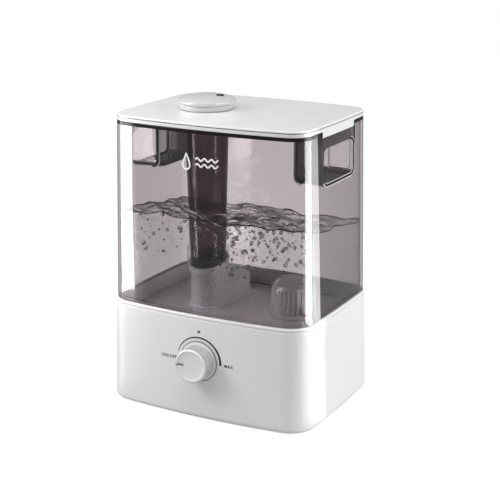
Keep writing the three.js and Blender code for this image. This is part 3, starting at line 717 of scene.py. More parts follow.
def copies_round(name, template, count, centre, finish, tilt=0.0):
    """The template piece repeated round an upright axis, each copy facing outwards."""
    recipe = Recipe(f"{name} in a ring")
    pattern = recipe.takes("Template", "Object", template)
    number = recipe.takes("Count", "Int", count, 3)
    middle = recipe.takes("Centre", "Vector", centre)
    lean = recipe.takes("Tilt", "Float", tilt)
    source = recipe.add("GeometryNodeObjectInfo", Object=pattern).outputs["Geometry"]
    spots = recipe.add("GeometryNodePoints", Count=number)
    index = Field(recipe.tree, recipe.add("GeometryNodeInputIndex").outputs[0])
    step = index.math("DIVIDE", 2 * math.pi, number)
    turn = recipe.add("ShaderNodeCombineXYZ", Z=index * step)
    placed = recipe.add(
        "GeometryNodeInstanceOnPoints", Points=spots, Instance=source, Rotation=turn
    )
    tipped = recipe.add("ShaderNodeCombineXYZ", X=lean)
    set_down = recipe.add(
        "GeometryNodeTransform", Geometry=placed, Translation=middle, Rotation=tipped
    )
    made = recipe.run(name, set_down, finish)
    bpy.data.objects.remove(template)
    return made


def template_piece(shape):
    """A pattern for Geometry Nodes, in metres round the origin."""
    points, faces = shape
    made = metre_mesh("template", [tuple(c * MM for c in p) for p in points], faces)
    tidy_mesh(made.data)
    return made


# ---- What a user would change ----


def colour(name, description, default):
    return FloatVectorProperty(
        name=name, description=description, default=default, size=3, min=0, max=1, subtype="COLOR"
    )


def count_of(name, description, default, low, high):
    return IntProperty(name=name, description=description, default=default, min=low, max=high)


def level_at(place_name, default):
    return FloatProperty(
        name=f"Water at the {place_name}",
        description=f"Height of the water's surface along the {place_name.lower()} wall",
        default=default, min=0.11, max=0.27, unit="LENGTH"
    )


class HumidifierColours(PropertyGroup):
    white: colour("White", "Colour of the base, lid and nozzle", (0.87, 0.87, 0.865))
    smoke: colour("Smoke", "What one face of the tank's wall lets through", (0.84, 0.817, 0.823))
    tube: colour("Tube", "What one face of the mist tube's wall lets through", (0.54, 0.46, 0.485))
    water: colour("Water", "What one face of the water lets through", (0.95, 0.96, 0.965))


class HumidifierSizes(PropertyGroup):
    dial_ribs: count_of("Dial Ribs", "Number of fine grip ribs round the dial", 72, 12, 180)
    cap_ribs: count_of("Cap Ribs", "Number of upright ribs round the filter cap", 30, 8, 60)
    water_front: level_at("Front", 0.198)
    water_back: level_at("Back", 0.174)
    bubble_count: count_of("Bubbles", "Number of air bubbles under the splash", 260, 0, 900)
    bubble_seed: count_of("Bubble Seed", "Seed for the bubbles' places and sizes", 7, 0, 9999)


class HumidifierStage(PropertyGroup):
    soft_light: FloatProperty(
        name="Soft Light", description="Power that the three soft lights are set by", default=8.0,
        min=0, unit="POWER"
    )
    card_light: FloatProperty(
        name="Card Light", description="Brightness that the corner stripes' cards are set by",
        default=7.0, min=0
    )
    lens: FloatProperty(
        name="Lens", description="Focal length of the camera in millimetres", default=92.13, min=20,
        max=300
    )
    off_word: StringProperty(
        name="Off Word", description="Word at the low end of the dial", default="ON/OFF"
    )
    most_word: StringProperty(
        name="Most Word", description="Word at the high end of the dial", default="MAX"
    )


finishes = {}


def finish_for(key):
    """The material of that key, made when it is first asked for."""
    if key in finishes:
        return finishes[key]
    colours = bpy.context.scene.humidifier_colours
    white = tuple(colours.white)

    def toned(share):
        return tuple(c * share for c in white)

    maker, *settings = {
        "white": (white_plastic, "white plastic", white, 0.42),
        # A darker copy of the white, as painted shade on the nozzle, its collar and the dial's
        # ribs.
        "white_with_painted_shade": (white_plastic, "nozzle plastic", toned(0.68), 0.3),
        "lid_white": (white_plastic, "satin lid plastic", toned(0.99), 0.22),
        "inner_white": (white_plastic, "inner white plastic", toned(0.93), 0.45),
        "smoke": (smoky_plastic, "smoky tank plastic", colours, 1.55),
        "smoke_inside": (smoky_plastic, "smoky tank plastic inside", colours, 1.12),
        "tube": (dark_tube_plastic, colours), "smoke_with_painted_shade": (smoke_with_painted_shade, colours),
        "smoke_with_painted_light": (smoke_with_painted_light, colours), "painted_shade_line": (painted_shade_line,),
        "painted_glint_line": (painted_glint_line,),
        "frosted": (frosted_plastic, "frosted chamber plastic", (1, 0.98, 0.985), 0.72, 0.38, 0.3),
        "cap": (frosted_plastic, "frosted cap plastic", (1, 0.985, 0.99), 0.42, 0.25, 0.15),
        # Nearly solid, bright ribs: painted highlights on the cap's ribs.
        "cap_rib": (frosted_plastic, "frosted rib plastic", (1, 0.99, 0.99), 0.95, 0.1, 0.0),
        "water": (water_finish, colours), "water_top": (water_top, colours),
        "bubble": (bubble_finish,), "board": (board_finish,),
        "rubber": (plain_finish, "black rubber", (0.03, 0.03, 0.032), 0.75, 0.0, 300, 0.2),
        "silicone": (plain_finish, "grey silicone", (0.06, 0.057, 0.06), 0.5),
        "black": (plain_finish, "black plastic", (0.02, 0.02, 0.021), 0.45, 0.0, 300, 0.15),
        "steel": (plain_finish, "zinc plated steel", (0.6, 0.6, 0.61), 0.3, 1.0, 500),
        "aluminium": (
            plain_finish, "extruded aluminium", (0.72, 0.73, 0.74), 0.38, 1.0, 260, 0.15,
            (1, 0.1, 1)
        ),
        "brass": (plain_finish, "bare brass", (0.72, 0.55, 0.26), 0.28, 1.0, 420),
        # Dark grey painted shade, for the dial's notch and ring and the lid's groove.
        "groove": (plain_finish, "shaded groove", (0.2, 0.2, 0.2), 0.6),
        "ink": (plain_finish, "black ink", (0.012, 0.012, 0.013), 0.5),
        "mark": (plain_finish, "white ink", (0.9, 0.9, 0.9), 0.5),
        "lens": (plain_finish, "smoked lens", (0.2, 0.205, 0.21), 0.2)
    }[key]
    finishes[key] = maker(*settings)
    return finishes[key]


def front_y(x, inset):
    """Y of the body's front face at x, for an outline at that inset."""
    _, b, radius = front_curve(inset)
    return radius - b - math.sqrt(radius**2 - x * x)


# ---- The base ----


class HUMIDIFIER_OT_base(Operator):
    """Builds the base's housing and the deck that the tank nests in."""

    bl_idname = "humidifier.base"
    bl_label = "Base Housing and Deck"

    def execute(self, context):
        self.housing()
        self.deck()
        return {"FINISHED"}

    def housing(self):
        rows = [(base_inset(z), z) for z in np.linspace(9, DECK_SEAM - 1.4, 17)]
        inner = base_inset(DECK_SEAM) + WALL
        profile = fillet([(8.4, 1.5), (base_inset(1.5), 1.5, 5.4), (base_inset(9), 9)], steps=8)
        profile += rows[1:]
        profile += fillet(
            [
                rows[-1], (base_inset(DECK_SEAM), DECK_SEAM, 0.5), (inner, DECK_SEAM, 0.4),
                (inner, 60)
            ],
            steps=3
        )[1:]
        profile += [(WALL + 0.3, 9.5), (8.4, 7)]
        seat = swung_forward(rod(DIAL_R + 3.0, 85, 95, sides=96), DIAL_Z)
        bore = swung_forward(rod(3.9, 76, 95, sides=32), DIAL_Z)
        light = swung_forward(rod(1.7, 76, 95, sides=32), LIGHT_Z)
        inlet = swung_forward(rod(5.8, -95, -76, (60, 0)), 24)
        housing = build("housing", body_skin(profile, True), [seat, bore, light, inlet])
        fit_out(housing, "base", "white", ["base_housing"], 28)

    def deck(self):
        rim = base_inset(BASE_TOP)
        outside = fillet(
            [
                (5.8, 81.5), (5.8, 102.9), (base_inset(DECK_SEAM) + 0.25, 102.9, 0.35),
                (rim + 0.1, BASE_TOP, 1.1), (7.6, BASE_TOP, 0.7), (8.0, 84.0, 1.5), (14.0, 84.0)
            ],
            steps=4
        )
        shape = body_skin(outside)
        tub = prism(rounded_box(146, 60, 14, (8.5, 3)), 61.5, 83)
        hollow_low = rounded_box(140, 54, 12, (8.5, 3))
        hollow_high = rounded_box(141.6, 55.6, 12, (8.5, 3))
        well = skin([[(x, y, 63.7) for x, y in hollow_low], [(x, y, 85) for x, y in hollow_high]])
        chimney, flue, port = rod(11, 60, 100, FAN), rod(8.8, 55, 105, FAN), rod(8.5, 55, 66, MIST)
        deck = build("deck", shape, [well, flue, port], [tub, chimney])
        fit_out(deck, "base", "white", ["base_deck"])


class HUMIDIFIER_OT_feet_and_screws(Operator):
    """Builds the rubber feet and the screws that hold the bottom cover."""

    bl_idname = "humidifier.feet_and_screws"
    bl_label = "Feet and Screws"

    def execute(self, context):
        stem = fillet([
            (0, 0), (7.6, 0, 0.5), (8, 0.9, 0.3), (7.9, 1.7, 0.2), (2.6, 1.7), (2.6, 5.3),
            (3.5, 5.3), (2.2, 8), (0, 8)
        ])
        spots = [(78, -56, 0), (78, 56, 0), (-78, 56, 0), (-78, -56, 0)]
        feet = copies_at("feet", template_piece(lathe(stem, sides=40)), spots, "rubber")
        names = ["foot_front_right", "foot_rear_right", "foot_rear_left", "foot_front_left"]
        fit_out(feet, "base", "rubber", names)
        head = [
            (0, 0.5), (1.2, 0), (2.6, 0.1, 0.2), (2.9, 0.7, 0.2), (2.9, 1.2), (1.2, 1.2),
            (1.2, 9.6), (0, 10.2)
        ]
        screw = build("screw", lathe(fillet(head, steps=3), sides=24))
        carve(screw, [block((-a, a), (-b, b), (-1, 0.9)) for a, b in ((1.9, 0.35), (0.35, 1.9))])
        screw.data.transform(Matrix.Translation(-Vector(row_point(0, 0, 0))))
        spots = ((97, -42), (97, 42), (-97, 42), (-97, -42), (0, -72), (0, 72))
        screws = copies_at("cover_screws", screw, [(x, y, 2.2) for x, y in spots], "steel")
        names = [f"cover_screw_{i + 1}" for i in range(6)]
        fit_out(screws, "base", "steel", names)
        return {"FINISHED"}


class HUMIDIFIER_OT_dial(Operator):
    """Builds the dial, its recessed ring and the power light."""

    bl_idname = "humidifier.dial"
    bl_label = "Dial and Light"

    def execute(self, context):
        back, face = 87.37, 102.97
        ring = fillet(
            [(3.9, 85.3), (19.3, 85.3), (19.3, 86.75, 0.35), (3.9, 86.75)], closed=True, steps=3
        )
        bezel = build("dial_ring", swung_forward(lathe(ring, sides=96, closed=True), DIAL_Z))
        fit_out(bezel, "base", "white", ["knob_bezel"])
        rim = DIAL_R - 0.35
        side = [
            (0, back), (rim - 0.4, back, 0.3), (rim, back + 1.2, 0.3), (rim - 0.3, face - 1.5, 0.6),
            (rim - 1.5, face, 0.7), (rim - 3.6, face - 1.0, 1.2), (rim - 9, face - 1.5, 5),
            (0, face - 1.6)
        ]
        shape = swung_forward(lathe(fillet(side, steps=5), sides=128), DIAL_Z)
        notch = block((-DIAL_R - 1, -7.6), (-face - 2, -face + 3.0), (DIAL_Z - 1.2, DIAL_Z + 1.2))
        bore = swung_forward(rod(3.3, 85, 98.5, sides=40), DIAL_Z)
        knob = build("dial_knob", shape, [notch, bore])
        fit_out(soften(knob, 0.25, 50), "knob", "white", ["knob"])

        def notch_side(middle, normal):
            x, y, z = middle
            inside = -18 < x < -7.3 and -face + 0.4 < y < -face + 3.3 and abs(z - DIAL_Z) < 1.4
            return inside and (abs(normal.z) > 0.5 or normal.x < -0.5)

        # The notch's sides are painted dark grey as shade.
        refinish(knob, "groove", notch_side)
        # A dark cord round the dial is painted shade in the gap round its ring.
        front = front_y(0, base_inset(DIAL_Z)) - 0.1
        ring = [(x, front, z) for x, z in on_circle((0, DIAL_Z), 19.6, turns(96))]
        groove = build("dial_groove", cord(ring, 0.42, (0, 1, 0), True))
        fit_out(groove, "base", "groove", angle=60)
        rib = lathe([(0, -6.7), (0.42, -6.5), (0.42, 6.2), (0, 6.5)], (rim + 0.1, 0), 6)
        centre = row_point(0, -(back + face) / 2 + 0.2, DIAL_Z)
        ribs = copies_round(
            "dial_ribs", template_piece(rib), context.scene.humidifier_sizes.dial_ribs, centre,
            "white", math.pi / 2
        )
        # The dial's ribs take the darker white as painted shade.
        fit_out(ribs, "knob", "white_with_painted_shade")
        top = 88 - base_inset(LIGHT_Z)
        lens = fillet([(0, 82.7), (1.3, 82.7), (1.3, top + 0.2, 0.4), (0, top + 0.2)], steps=4)
        light = build("power_light_lens", swung_forward(lathe(lens, sides=32), LIGHT_Z))
        fit_out(light, "base", "lens", ["power_light"])
        return {"FINISHED"}


class HUMIDIFIER_OT_markings(Operator):
    """Prints the dial's words and its growing arc, and the drop sign on the tank."""

    bl_idname = "humidifier.markings"
    bl_label = "Printed Markings"

    def execute(self, context):
        words = context.scene.humidifier_stage
        self.word("print_off", words.off_word, -33.4, DIAL_Z - 0.6, 3.1)
        self.word("print_max", words.most_word, 32.4, DIAL_Z - 0.4, 2.9)
        self.growing_arc()
        self.drop_sign()
        return {"FINISHED"}

    def on_front(self, name, flat, body, material, inset, depth=0.09):
        """Wraps flat faces, given as x and z, on the front and gives them the print's thickness."""
        points, faces = flat
        low = [(x, front_y(x, inset(z)) + 0.02, z) for x, z in points]
        high = [(x, front_y(x, inset(z)) - depth, z) for x, z in points]
        count = len(points)
        sides = {}
        for face in faces:
            for a, b in zip(face, face[1:] + face[:1]):
                sides[(a, b)] = (b, a) not in sides
                if not sides[(a, b)]:
                    sides[(b, a)] = False
        walls = [(b, a, a + count, b + count) for (a, b), open_side in sides.items() if open_side]
        fronts = [tuple(i + count for i in face) for face in faces]
        backs = [tuple(reversed(face)) for face in faces]
        made = build(name, (low + high, fronts + backs + walls))
        fit_out(made, body, material)
        return made

    def word(self, name, text, x, z, height):
        curve = bpy.data.curves.new(name, "FONT")
        curve.body = text
        curve.align_x = "CENTER"
        curve.align_y = "CENTER"
        curve.size = height / 0.7
        curve.offset = 0.09
        curve.space_character = 1.12
        curve.resolution_u = 3
        sample = linked(name + "_letters", curve)
        bpy.context.view_layer.update()
        mesh = bpy.data.meshes.new_from_object(sample)
        tidy_mesh(mesh, 1e-5)
        points = [(x + v.co.x, z + v.co.y) for v in mesh.vertices]
        faces = [tuple(p.vertices) for p in mesh.polygons]
        bpy.data.objects.remove(sample)
        self.on_front(name, (points, faces), "base", "ink", base_inset)

    def growing_arc(self):
        steps, radius, points = 72, 23.7, []
        for i in range(steps + 1):
            share = i / steps
            turn = math.radians(163 - 165 * share)
            half = 0.34 + 0.8 * share
            for r in (radius - half, radius + half):
                points.append((r * math.cos(turn), DIAL_Z + r * math.sin(turn)))
        self.on_front("print_arc", (points, self.strip(steps)), "base", "ink", base_inset)

    def strip(self, count):
        """The faces of a ribbon whose points come in pairs."""
        return [(2 * i, 2 * i + 1, 2 * i + 3, 2 * i + 2) for i in range(count)]

    def band(self, line, width):
        """A ribbon of even width along a line of x and z."""
        points = []
        for i, (x, z) in enumerate(line):
            before, after = line[max(i - 1, 0)], line[min(i + 1, len(line) - 1)]
            along = Vector((after[0] - before[0], after[1] - before[1])).normalized()
            side = Vector((-along.y, along.x)) * width / 2
            points += [(x - side.x, z - side.y), (x + side.x, z + side.y)]
        return points, self.strip(len(line) - 1)

    def drop_sign(self):
        """A plain drop beside two waves."""
        x0, z0 = -14.0, 254.5
        drop = []
        for i in range(61):
            turn = 2 * math.pi * i / 60
            lean = 0.5 * (1 - math.cos(turn))
            drop.append((x0 + 5.6 * math.sin(turn) * lean**0.9, z0 + 7.6 * math.cos(turn)))
        waves = [
            [(x0 + 10 + 0.5 * i, z0 + level + 1.3 * math.sin(i * 0.42)) for i in range(49)]
            for level in (2.6, -2.8)
        ]
        for i, line in enumerate([drop, *waves]):
            self.on_front(f"sign_{i + 1}", self.band(line, 1.6), "tank", "mark", tank_inset, 0.12)


# ---- The tank ----


def sideways(x, half, low, high, radius):
    loop = rounded_box(2 * half, high - low, radius, (0, (low + high) / 2), 6)
    return [(x, y, z) for y, z in loop]


def mirrored(shape):
    points, faces = shape
    return [(-x, y, z) for x, y, z in points], [tuple(reversed(f)) for f in faces]


class HUMIDIFIER_OT_tank(Operator):
    """Builds the smoky tank with its two finger pockets, and its floor."""

    bl_idname = "humidifier.tank"
    bl_label = "Water Tank"

    def execute(self, context):
        walls = body_skin(
            fillet(
                [
                    (8.9, ON_FLOOR, 0.6), (8.5, 106.4, 0.5), (tank_inset(BASE_TOP), 106.4, 1.0),
                    (tank_inset(267), 267), (tank_inset(277.5), 277.5),
                    (tank_inset(RIM_BAND), RIM_BAND), (tank_inset(TANK_RIM), TANK_RIM, 0.5),
                    (tank_inset(TANK_RIM) + WALL, TANK_RIM, 0.5),
                    (tank_inset(RIM_BAND) + WALL, RIM_BAND), (tank_inset(110) + WALL, 110, 1.5),
                    (10.9, 106, 0.8), (11.3, ON_FLOOR, 0.6)
                ],
                closed=True, steps=3
            ),
            True
        )
        half, low, high, back, ceiling = 33, 233.5, 268, 75, 276
        face = HALF_WIDTH - tank_inset(low)
        shell = skin([
            sideways(back - 2, half - 0.5, low - 1, ceiling + 1.6, 8),
            sideways(face - 1.2, half + 2, low - 2, ceiling + 2, 8)
        ])
        hollow = skin([
            sideways(back, half - 2.5, low + 1, ceiling - 0.4, 7),
            sideways(face - WALL + 0.2, half, low, ceiling, 7)
        ])
        mouth = skin([
            sideways(face - WALL, half, low, high, 7), sideways(face + 3, half, low, high, 7)
        ])
        notch = block((95, 115), (-35.3, 35.3), (278.4, 295))
        cuts = [hollow, mirrored(hollow), mouth, mirrored(mouth), notch, mirrored(notch)]
        tank = build("tank_walls", walls, cuts, [shell, mirrored(shell)])
        fit_out(tank, "tank", "smoke", ["tank_shell"], 30)

        def in_pocket(middle, normal):
            x, y, z = abs(middle[0]), abs(middle[1]), middle[2]
            if abs(normal.x) > 0.6:
                return y < 36 and (x < 80 and z > 230 or x > 100 and 267.5 < z < 279.5)
            return abs(normal.z) > 0.6 and x < 103.6 and y < 36 and 230 < z < 279.5

        def faces_out(middle, normal):
            return middle[0] * normal.x + middle[1] * normal.y

        def seen_through(middle, normal):
            return faces_out(middle, normal) < 0 or (middle[0] < -72 and middle[1] > 45)

        def low_left(middle, normal):
            return middle[0] < -55 and middle[2] < 106.5 and faces_out(middle, normal) < -20

        refinish(tank, "smoke_inside", seen_through)
        # Painted light: the low left wall's inner faces are painted pale.
        refinish(tank, "smoke_with_painted_light", low_left)
        # Painted shade: faces in the finger pockets and the bar above each mouth are darkened.
        refinish(tank, "smoke_with_painted_shade", in_pocket)
        # Painted shade: the rim band under the lid and the downward faces at the tank's foot are
        # painted nearly black.
        refinish(tank, "painted_shade_line", lambda m, n: m[2] > RIM_BAND or (n.z < -0.7 and m[2] < 92))
        self.pocket_edges(back, face, half, low, high, ceiling)
        self.bottom()
        return {"FINISHED"}

    def pocket_edges(self, back, face, half, low, high, ceiling):
        """Painted shade and painted highlights: dark and bright cords along the rounded edges of
        the finger pockets.
        """

        def end_wall(y, x0, x1, z0, z1, radius):
            loop = rounded_box(x1 - x0, z1 - z0, radius, ((x0 + x1) / 2, (z0 + z1) / 2), 6)
            return [(x, y, z) for x, z in loop]

        def part_of(loop, kept):
            """The unbroken run of the loop's points that kept(point) picks."""
            count = len(loop)
            start = next(i for i in range(count) if kept(loop[i]) and not kept(loop[i - 1]))
            turned = loop[start:] + loop[:start]
            return turned[: next((i for i in range(count) if not kept(turned[i])), count)]

        def mouth(grow):
            lean = TANK_DRAFT / (HEIGHT - BASE_TOP)
            loop = rounded_box(
                2 * (half + grow), high - low + 2 * grow, 7 + grow, (0, (low + high) / 2), 6
            )
            path = part_of(loop, lambda p: p[1] < low + 3 or p[0] > half - 6)
            return [(face - lean * (z - low) - 0.35, y, z) for y, z in path]

        front = part_of(
            end_wall(1.2 - half, back + 0.6, face + 8, low + 0.3, ceiling, 6.5),
            lambda p: p[0] < face - 3
        )
        rear = end_wall(half - 1.2, back + 4.5, face - 3.5, low + 3.5, high - 1.5, 4)
        outer = part_of(
            end_wall(0.4 - half, back - 1.6, face + 8, low - 1.6, ceiling + 1, 8),
            lambda p: p[0] < back + 9
        )
        sill = [(back + 0.4, y, low + 0.6) for y in (4 - half, 0, half - 4)]
        stile = [(face - 1.0, half + 2.3, z) for z in (high - 4, high + 4, 279)]
        # Dark cords are painted shade and bright cords painted highlights.
        lines = {
            "pocket_front_edge": ("painted_shade_line", front, 1.25, (0, 1, 0), False),
            "pocket_front_glint": ("painted_glint_line", outer, 0.5, (0, 1, 0), False),
            "pocket_sill": ("painted_shade_line", sill, 0.9, (1, 0, 0), False),
            "pocket_rear_glint": ("painted_glint_line", rear, 0.5, (0, 1, 0), True),
            "pocket_lip_inside": ("painted_glint_line", mouth(-1.2), 0.4, (1, 0, 0), False),
            "pocket_lip_edge": ("painted_shade_line", mouth(0.3), 1.1, (1, 0, 0), False),
            "pocket_lip_glint": ("painted_glint_line", mouth(1.9), 0.55, (1, 0, 0), False),
            "notch_stile": ("painted_shade_line", stile, 0.6, (1, 0, 0), False)
        }
        for name, (finish, path, radius, up, closed) in lines.items():
            near = cord(path, radius, up, closed)
            far = cord(path, radius * (1.5 if finish == "painted_shade_line" else 1.0), up, closed)
            for made in (build(name, near), build(name + "_left", mirrored(far))):
                fit_out(made, "tank", finish, angle=60)

    def bottom(self):
        plate = body_skin(fillet([(9.3, 87.0), (8.9, 89.4)]))
        passage = prism(oval(16, 12), 80, 95)
        floor = build("tank_bottom", plate, [passage, rod(14, 80, 95, VALVE)])
        # The tank's floor is painted pale as painted light.
        fit_out(floor, "tank", "smoke_with_painted_light", ["tank_floor"])


class HUMIDIFIER_OT_mist_path(Operator):
    """Builds the frosted chamber, the seal and the dark tube that carry the mist up."""

    bl_idname = "humidifier.mist_path"
    bl_label = "Chamber and Tube"

    def execute(self, context):
        side = fillet([
            (21, ON_FLOOR), (21, 91.3, 0.5), (18.2, 91.3, 0.8), (18, 108, 2.2), (12, 108)
        ])
        body = skin([[(x, y, z) for x, y in oval(radius, 16)] for radius, z in side])
        neck = lathe(
            fillet([
                (0, 100), (18, 100), (18, 124, 1.5), (20.4, 125.5, 0.8), (20.4, 146), (0, 146)
            ]),
            MIST, 72
        )
        above = moved(
            block((-80, 80), (-80, 80), (0, 60)), tilt=math.radians(19), shift=(*MIST, 137.4)
        )
        hollow = prism(oval(16, 16), 88, 106)
        throat, cup = rod(15.4, 100, 130, MIST, 72), rod(18.4, 129.6, 150, MIST, 72)
        chamber = build("mist_chamber_shell", body, [above, hollow, throat, cup], [neck])
        soften(chamber, 0.3, 50)
        fit_out(chamber, "tank", "frosted", ["mist_chamber"])
        seal = fillet(
            [
                (15.6, 129.9, 0.3), (17.6, 129.9, 0.6), (17.9, 131.4), (17.6, 132.9, 0.6),
                (15.6, 132.9, 0.3)
            ],
            True
        )
        ring = build("tube_gasket", lathe(seal, MIST, 64, True))
        fit_out(ring, "tank", "rubber", ["tube_seal"])
        wall = [(15.9, 133.2, 0.4), (17.5, 133.2, 0.6)]
        wall += [(17.5 + 4.3 * s, 133.2 + 148.8 * s) for s in (0.1, 0.3, 0.5, 0.7, 0.9)]
        wall += [(21.8, 282, 0.5), (20.2, 282, 0.5)]
        tube = build("mist_tube_wall", lathe(fillet(wall, True), MIST, 96, True))
        fit_out(tube, "tank", "tube", ["mist_tube"])
        return {"FINISHED"}


class HUMIDIFIER_OT_filter_cap(Operator):
    """Builds the ribbed cap over the water valve."""

    bl_idname = "humidifier.filter_cap"
    bl_label = "Filter Cap"

    def execute(self, context):
        low = ON_FLOOR
        profile = [
            (0, 121.4), (14.5, 120.6, 2), (19.4, 116.4, 2), (21.4, low), (30, low, 0.4),
            (30, low + 1.8, 0.7), (22.9, low + 1.8, 1), (21.4, 117.0, 2.5), (19.4, 120.6, 2.5),
            (15.5, 122.3, 2.5), (0, 123.4)
        ]
        windows = [
            moved(
                block((18, 26), (-2.2, 2.2), (low + 3, low + 9)), turn=i * math.pi / 4,
                shift=(*VALVE, 0)
            ) for i in range(8)
        ]
        cap = build("cap_shell", lathe(fillet(profile), VALVE, 96), windows)
        fit_out(cap, "tank", "cap", ["filter_cap"])
        length, lean = 22.5, 1.5 / 25.5
        points, faces = lathe(
            fillet([(0, 0), (0.62, 0.4), (0.55, length - 1), (0, length)]), sides=10
        )
        leaning = [(22.7 + px - pz * lean, py, pz) for px, py, pz in points]
        count = context.scene.humidifier_sizes.cap_ribs
        ribs = copies_round(
            "cap_ribs", template_piece(moved((leaning, faces), turn=math.pi / count)), count,
            row_point(*VALVE, low + 4.5), "cap_rib"
        )
        # The cap's ribs are painted bright as highlights.
        fit_out(ribs, "tank", "cap_rib")
        return {"FINISHED"}


class HUMIDIFIER_OT_water(Operator):
    """Fills the tank with moving water and the bubbles under its splash."""

    bl_idname = "humidifier.water"
    bl_label = "Water and Bubbles"

    # Middle, width and rise of each splash.
    splashes = (
        (12, -30, 22, 4), (42, -10, 16, -4), (-5, 30, 18, 1.5), (70, -30, 14, 3), (-70, -30, 16, -3)
    )

    def level(self, x, y):
        """Height of the surface in millimetres: a slope, long waves and a splash by the tube."""
        sizes = bpy.context.scene.humidifier_sizes
        front, back = sizes.water_front / MM, sizes.water_back / MM
        share = (y + HALF_WATER) / (2 * HALF_WATER)
        height = front + (back - front) * share
        height += 1.5 * math.sin(x / 17 + y / 31) + 1.2 * math.sin(x / 7.5 - y / 11 + 1)
        height += 0.7 * math.sin(x / 4.1 + y / 5.3 + 2) + 0.5 * math.sin(y / 3.3 - x / 6)
        for sx, sy, size, rise in self.splashes:
            gap = ((x - sx) ** 2 + (y - sy) ** 2) / size**2
            height += rise * math.exp(-gap) * math.cos(3.5 * math.sqrt(gap))
        return height

    def execute(self, context):
        rings = 30
        loops = []
        for inset, z in (
            (12.0, TANK_FLOOR + 0.6), (11.6, 105), (tank_inset(110) + WALL + 0.5, 111.5)
        ):
            loops.append([(x, y, z) for x, y in body_outline(inset, 1.6)])
        edge = body_outline(tank_inset(WATER_Z) + WALL + 0.5, 1.6)
        for k in range(rings):
            share = 1 - k / rings
            loops.append([
                (x * share, y * share, self.level(x * share, y * share)) for x, y in edge
            ])
        points, faces = skin(loops)
        tools = [prism(oval(21.5, 10), 80, 92), prism(oval(18.5, 10), 91, 108.5)]
        neck = [(0, 100), (18.5, 100), (18.5, 123), (21, 125), (21, 150), (0, 150)]
        tube = [(0, 140), (18.3, 140), (21.6, 260), (0, 260)]
        cap = [(0, 80), (30.5, 80), (30.5, 92), (23.9, 92), (22.9, 118), (17, 124), (0, 124.4)]
        tools += [lathe(neck, MIST, 48), lathe(tube, MIST, 48), lathe(cap, VALVE, 48)]
        water = build("water", (points, faces), tools)
        fit_out(water, "tank", "water", angle=60)
        refinish(water, "water_top", lambda m, n: m[2] > 160 and n.z > 0.2)
        wall = body_outline(tank_inset(WATER_Z) + WALL + 1.2, 1.6)
        # At the waterline, a bright cord round the tube is a painted highlight and a dark cord
        # along the wall is painted shade.
        for name, line, radius, finish in (
            ("waterline_tube", on_circle(MIST, 20.4, turns(72)), 0.7, "painted_glint_line"),
            ("waterline_wall", wall, 0.5, "painted_shade_line")
        ):
            path = [(x, y, self.level(x, y) + 0.3) for x, y in line]
            made = build(name, cord(path, radius, (0, 0, 1), True))
            fit_out(made, "tank", finish, angle=60)
        sizes = context.scene.humidifier_sizes
        corners = row_point(-6, -66, 126), row_point(82, -6, 190)
        self.bubbles("bubbles", sizes.bubble_count, sizes.bubble_seed, *corners)
        corners = row_point(-88, -66, 140), row_point(-14, 0, 192)
        self.bubbles("stray_bubbles", sizes.bubble_count // 3, sizes.bubble_seed + 3, *corners)
        return {"FINISHED"}

    def bubbles(self, name, number, seed_value, low_corner, high_corner):
        """Bubbles of many sizes in a box, more of them near its top."""
        recipe = Recipe(f"{name} in a box")
        count = recipe.takes("Count", "Int", number, 0)
        seed = recipe.takes("Seed", "Int", seed_value)
        low = recipe.takes("Low Corner", "Vector", low_corner)
        high = recipe.takes("High Corner", "Vector", high_corner)
        small = recipe.takes("Smallest", "Float", 0.0006, 0.0)
        large = recipe.takes("Largest", "Float", 0.0029, 0.0)

        def vector(operation, first, second):
            return recipe.add(
                "ShaderNodeVectorMath", {"operation": operation}, {0: first, 1: second}
            )

        def chance(offset, kind):
            own_seed = recipe.add("ShaderNodeMath", {"operation": "ADD"}, {0: seed, 1: offset})
            return recipe.add("FunctionNodeRandomValue", {"data_type": kind}, Seed=own_seed)

        spots = chance(0.0, "FLOAT_VECTOR")
        lean = Field(recipe.tree, chance(11.0, "FLOAT").outputs[1])
        apart = recipe.add("ShaderNodeSeparateXYZ", None, {0: spots}).outputs
        crowded = 1 - (1 - Field(recipe.tree, apart[2])) * (lean * 0.7 + 0.3)
        scaled = recipe.add("ShaderNodeCombineXYZ", None, {0: apart[0], 1: apart[1], 2: crowded})
        reach = vector("MULTIPLY", scaled, vector("SUBTRACT", high, low))
        where = vector("ADD", reach, low)
        points = recipe.add("GeometryNodePoints", Count=count, Position=where)
        drop = recipe.add("GeometryNodeMeshIcoSphere", Radius=1.0, Subdivisions=2)
        share = Field(recipe.tree, chance(23.0, "FLOAT").outputs[1]) ** 2.2
        spread = Field(recipe.tree, large) - Field(recipe.tree, small)
        size = share * spread + small
        flat = recipe.add("ShaderNodeCombineXYZ", X=size, Y=size * 0.8, Z=size * 0.62)
        spin = recipe.add(
            "ShaderNodeVectorMath", {"operation": "SCALE"}, {0: spots}, Scale=2 * math.pi
        )
        placed = recipe.add(
            "GeometryNodeInstanceOnPoints", Points=points, Instance=drop, Rotation=spin, Scale=flat
        )
        made = recipe.run(name, placed, "bubble")
        fit_out(made, "tank", "bubble", angle=180, weld=False)


# ---- The lid and nozzle ----


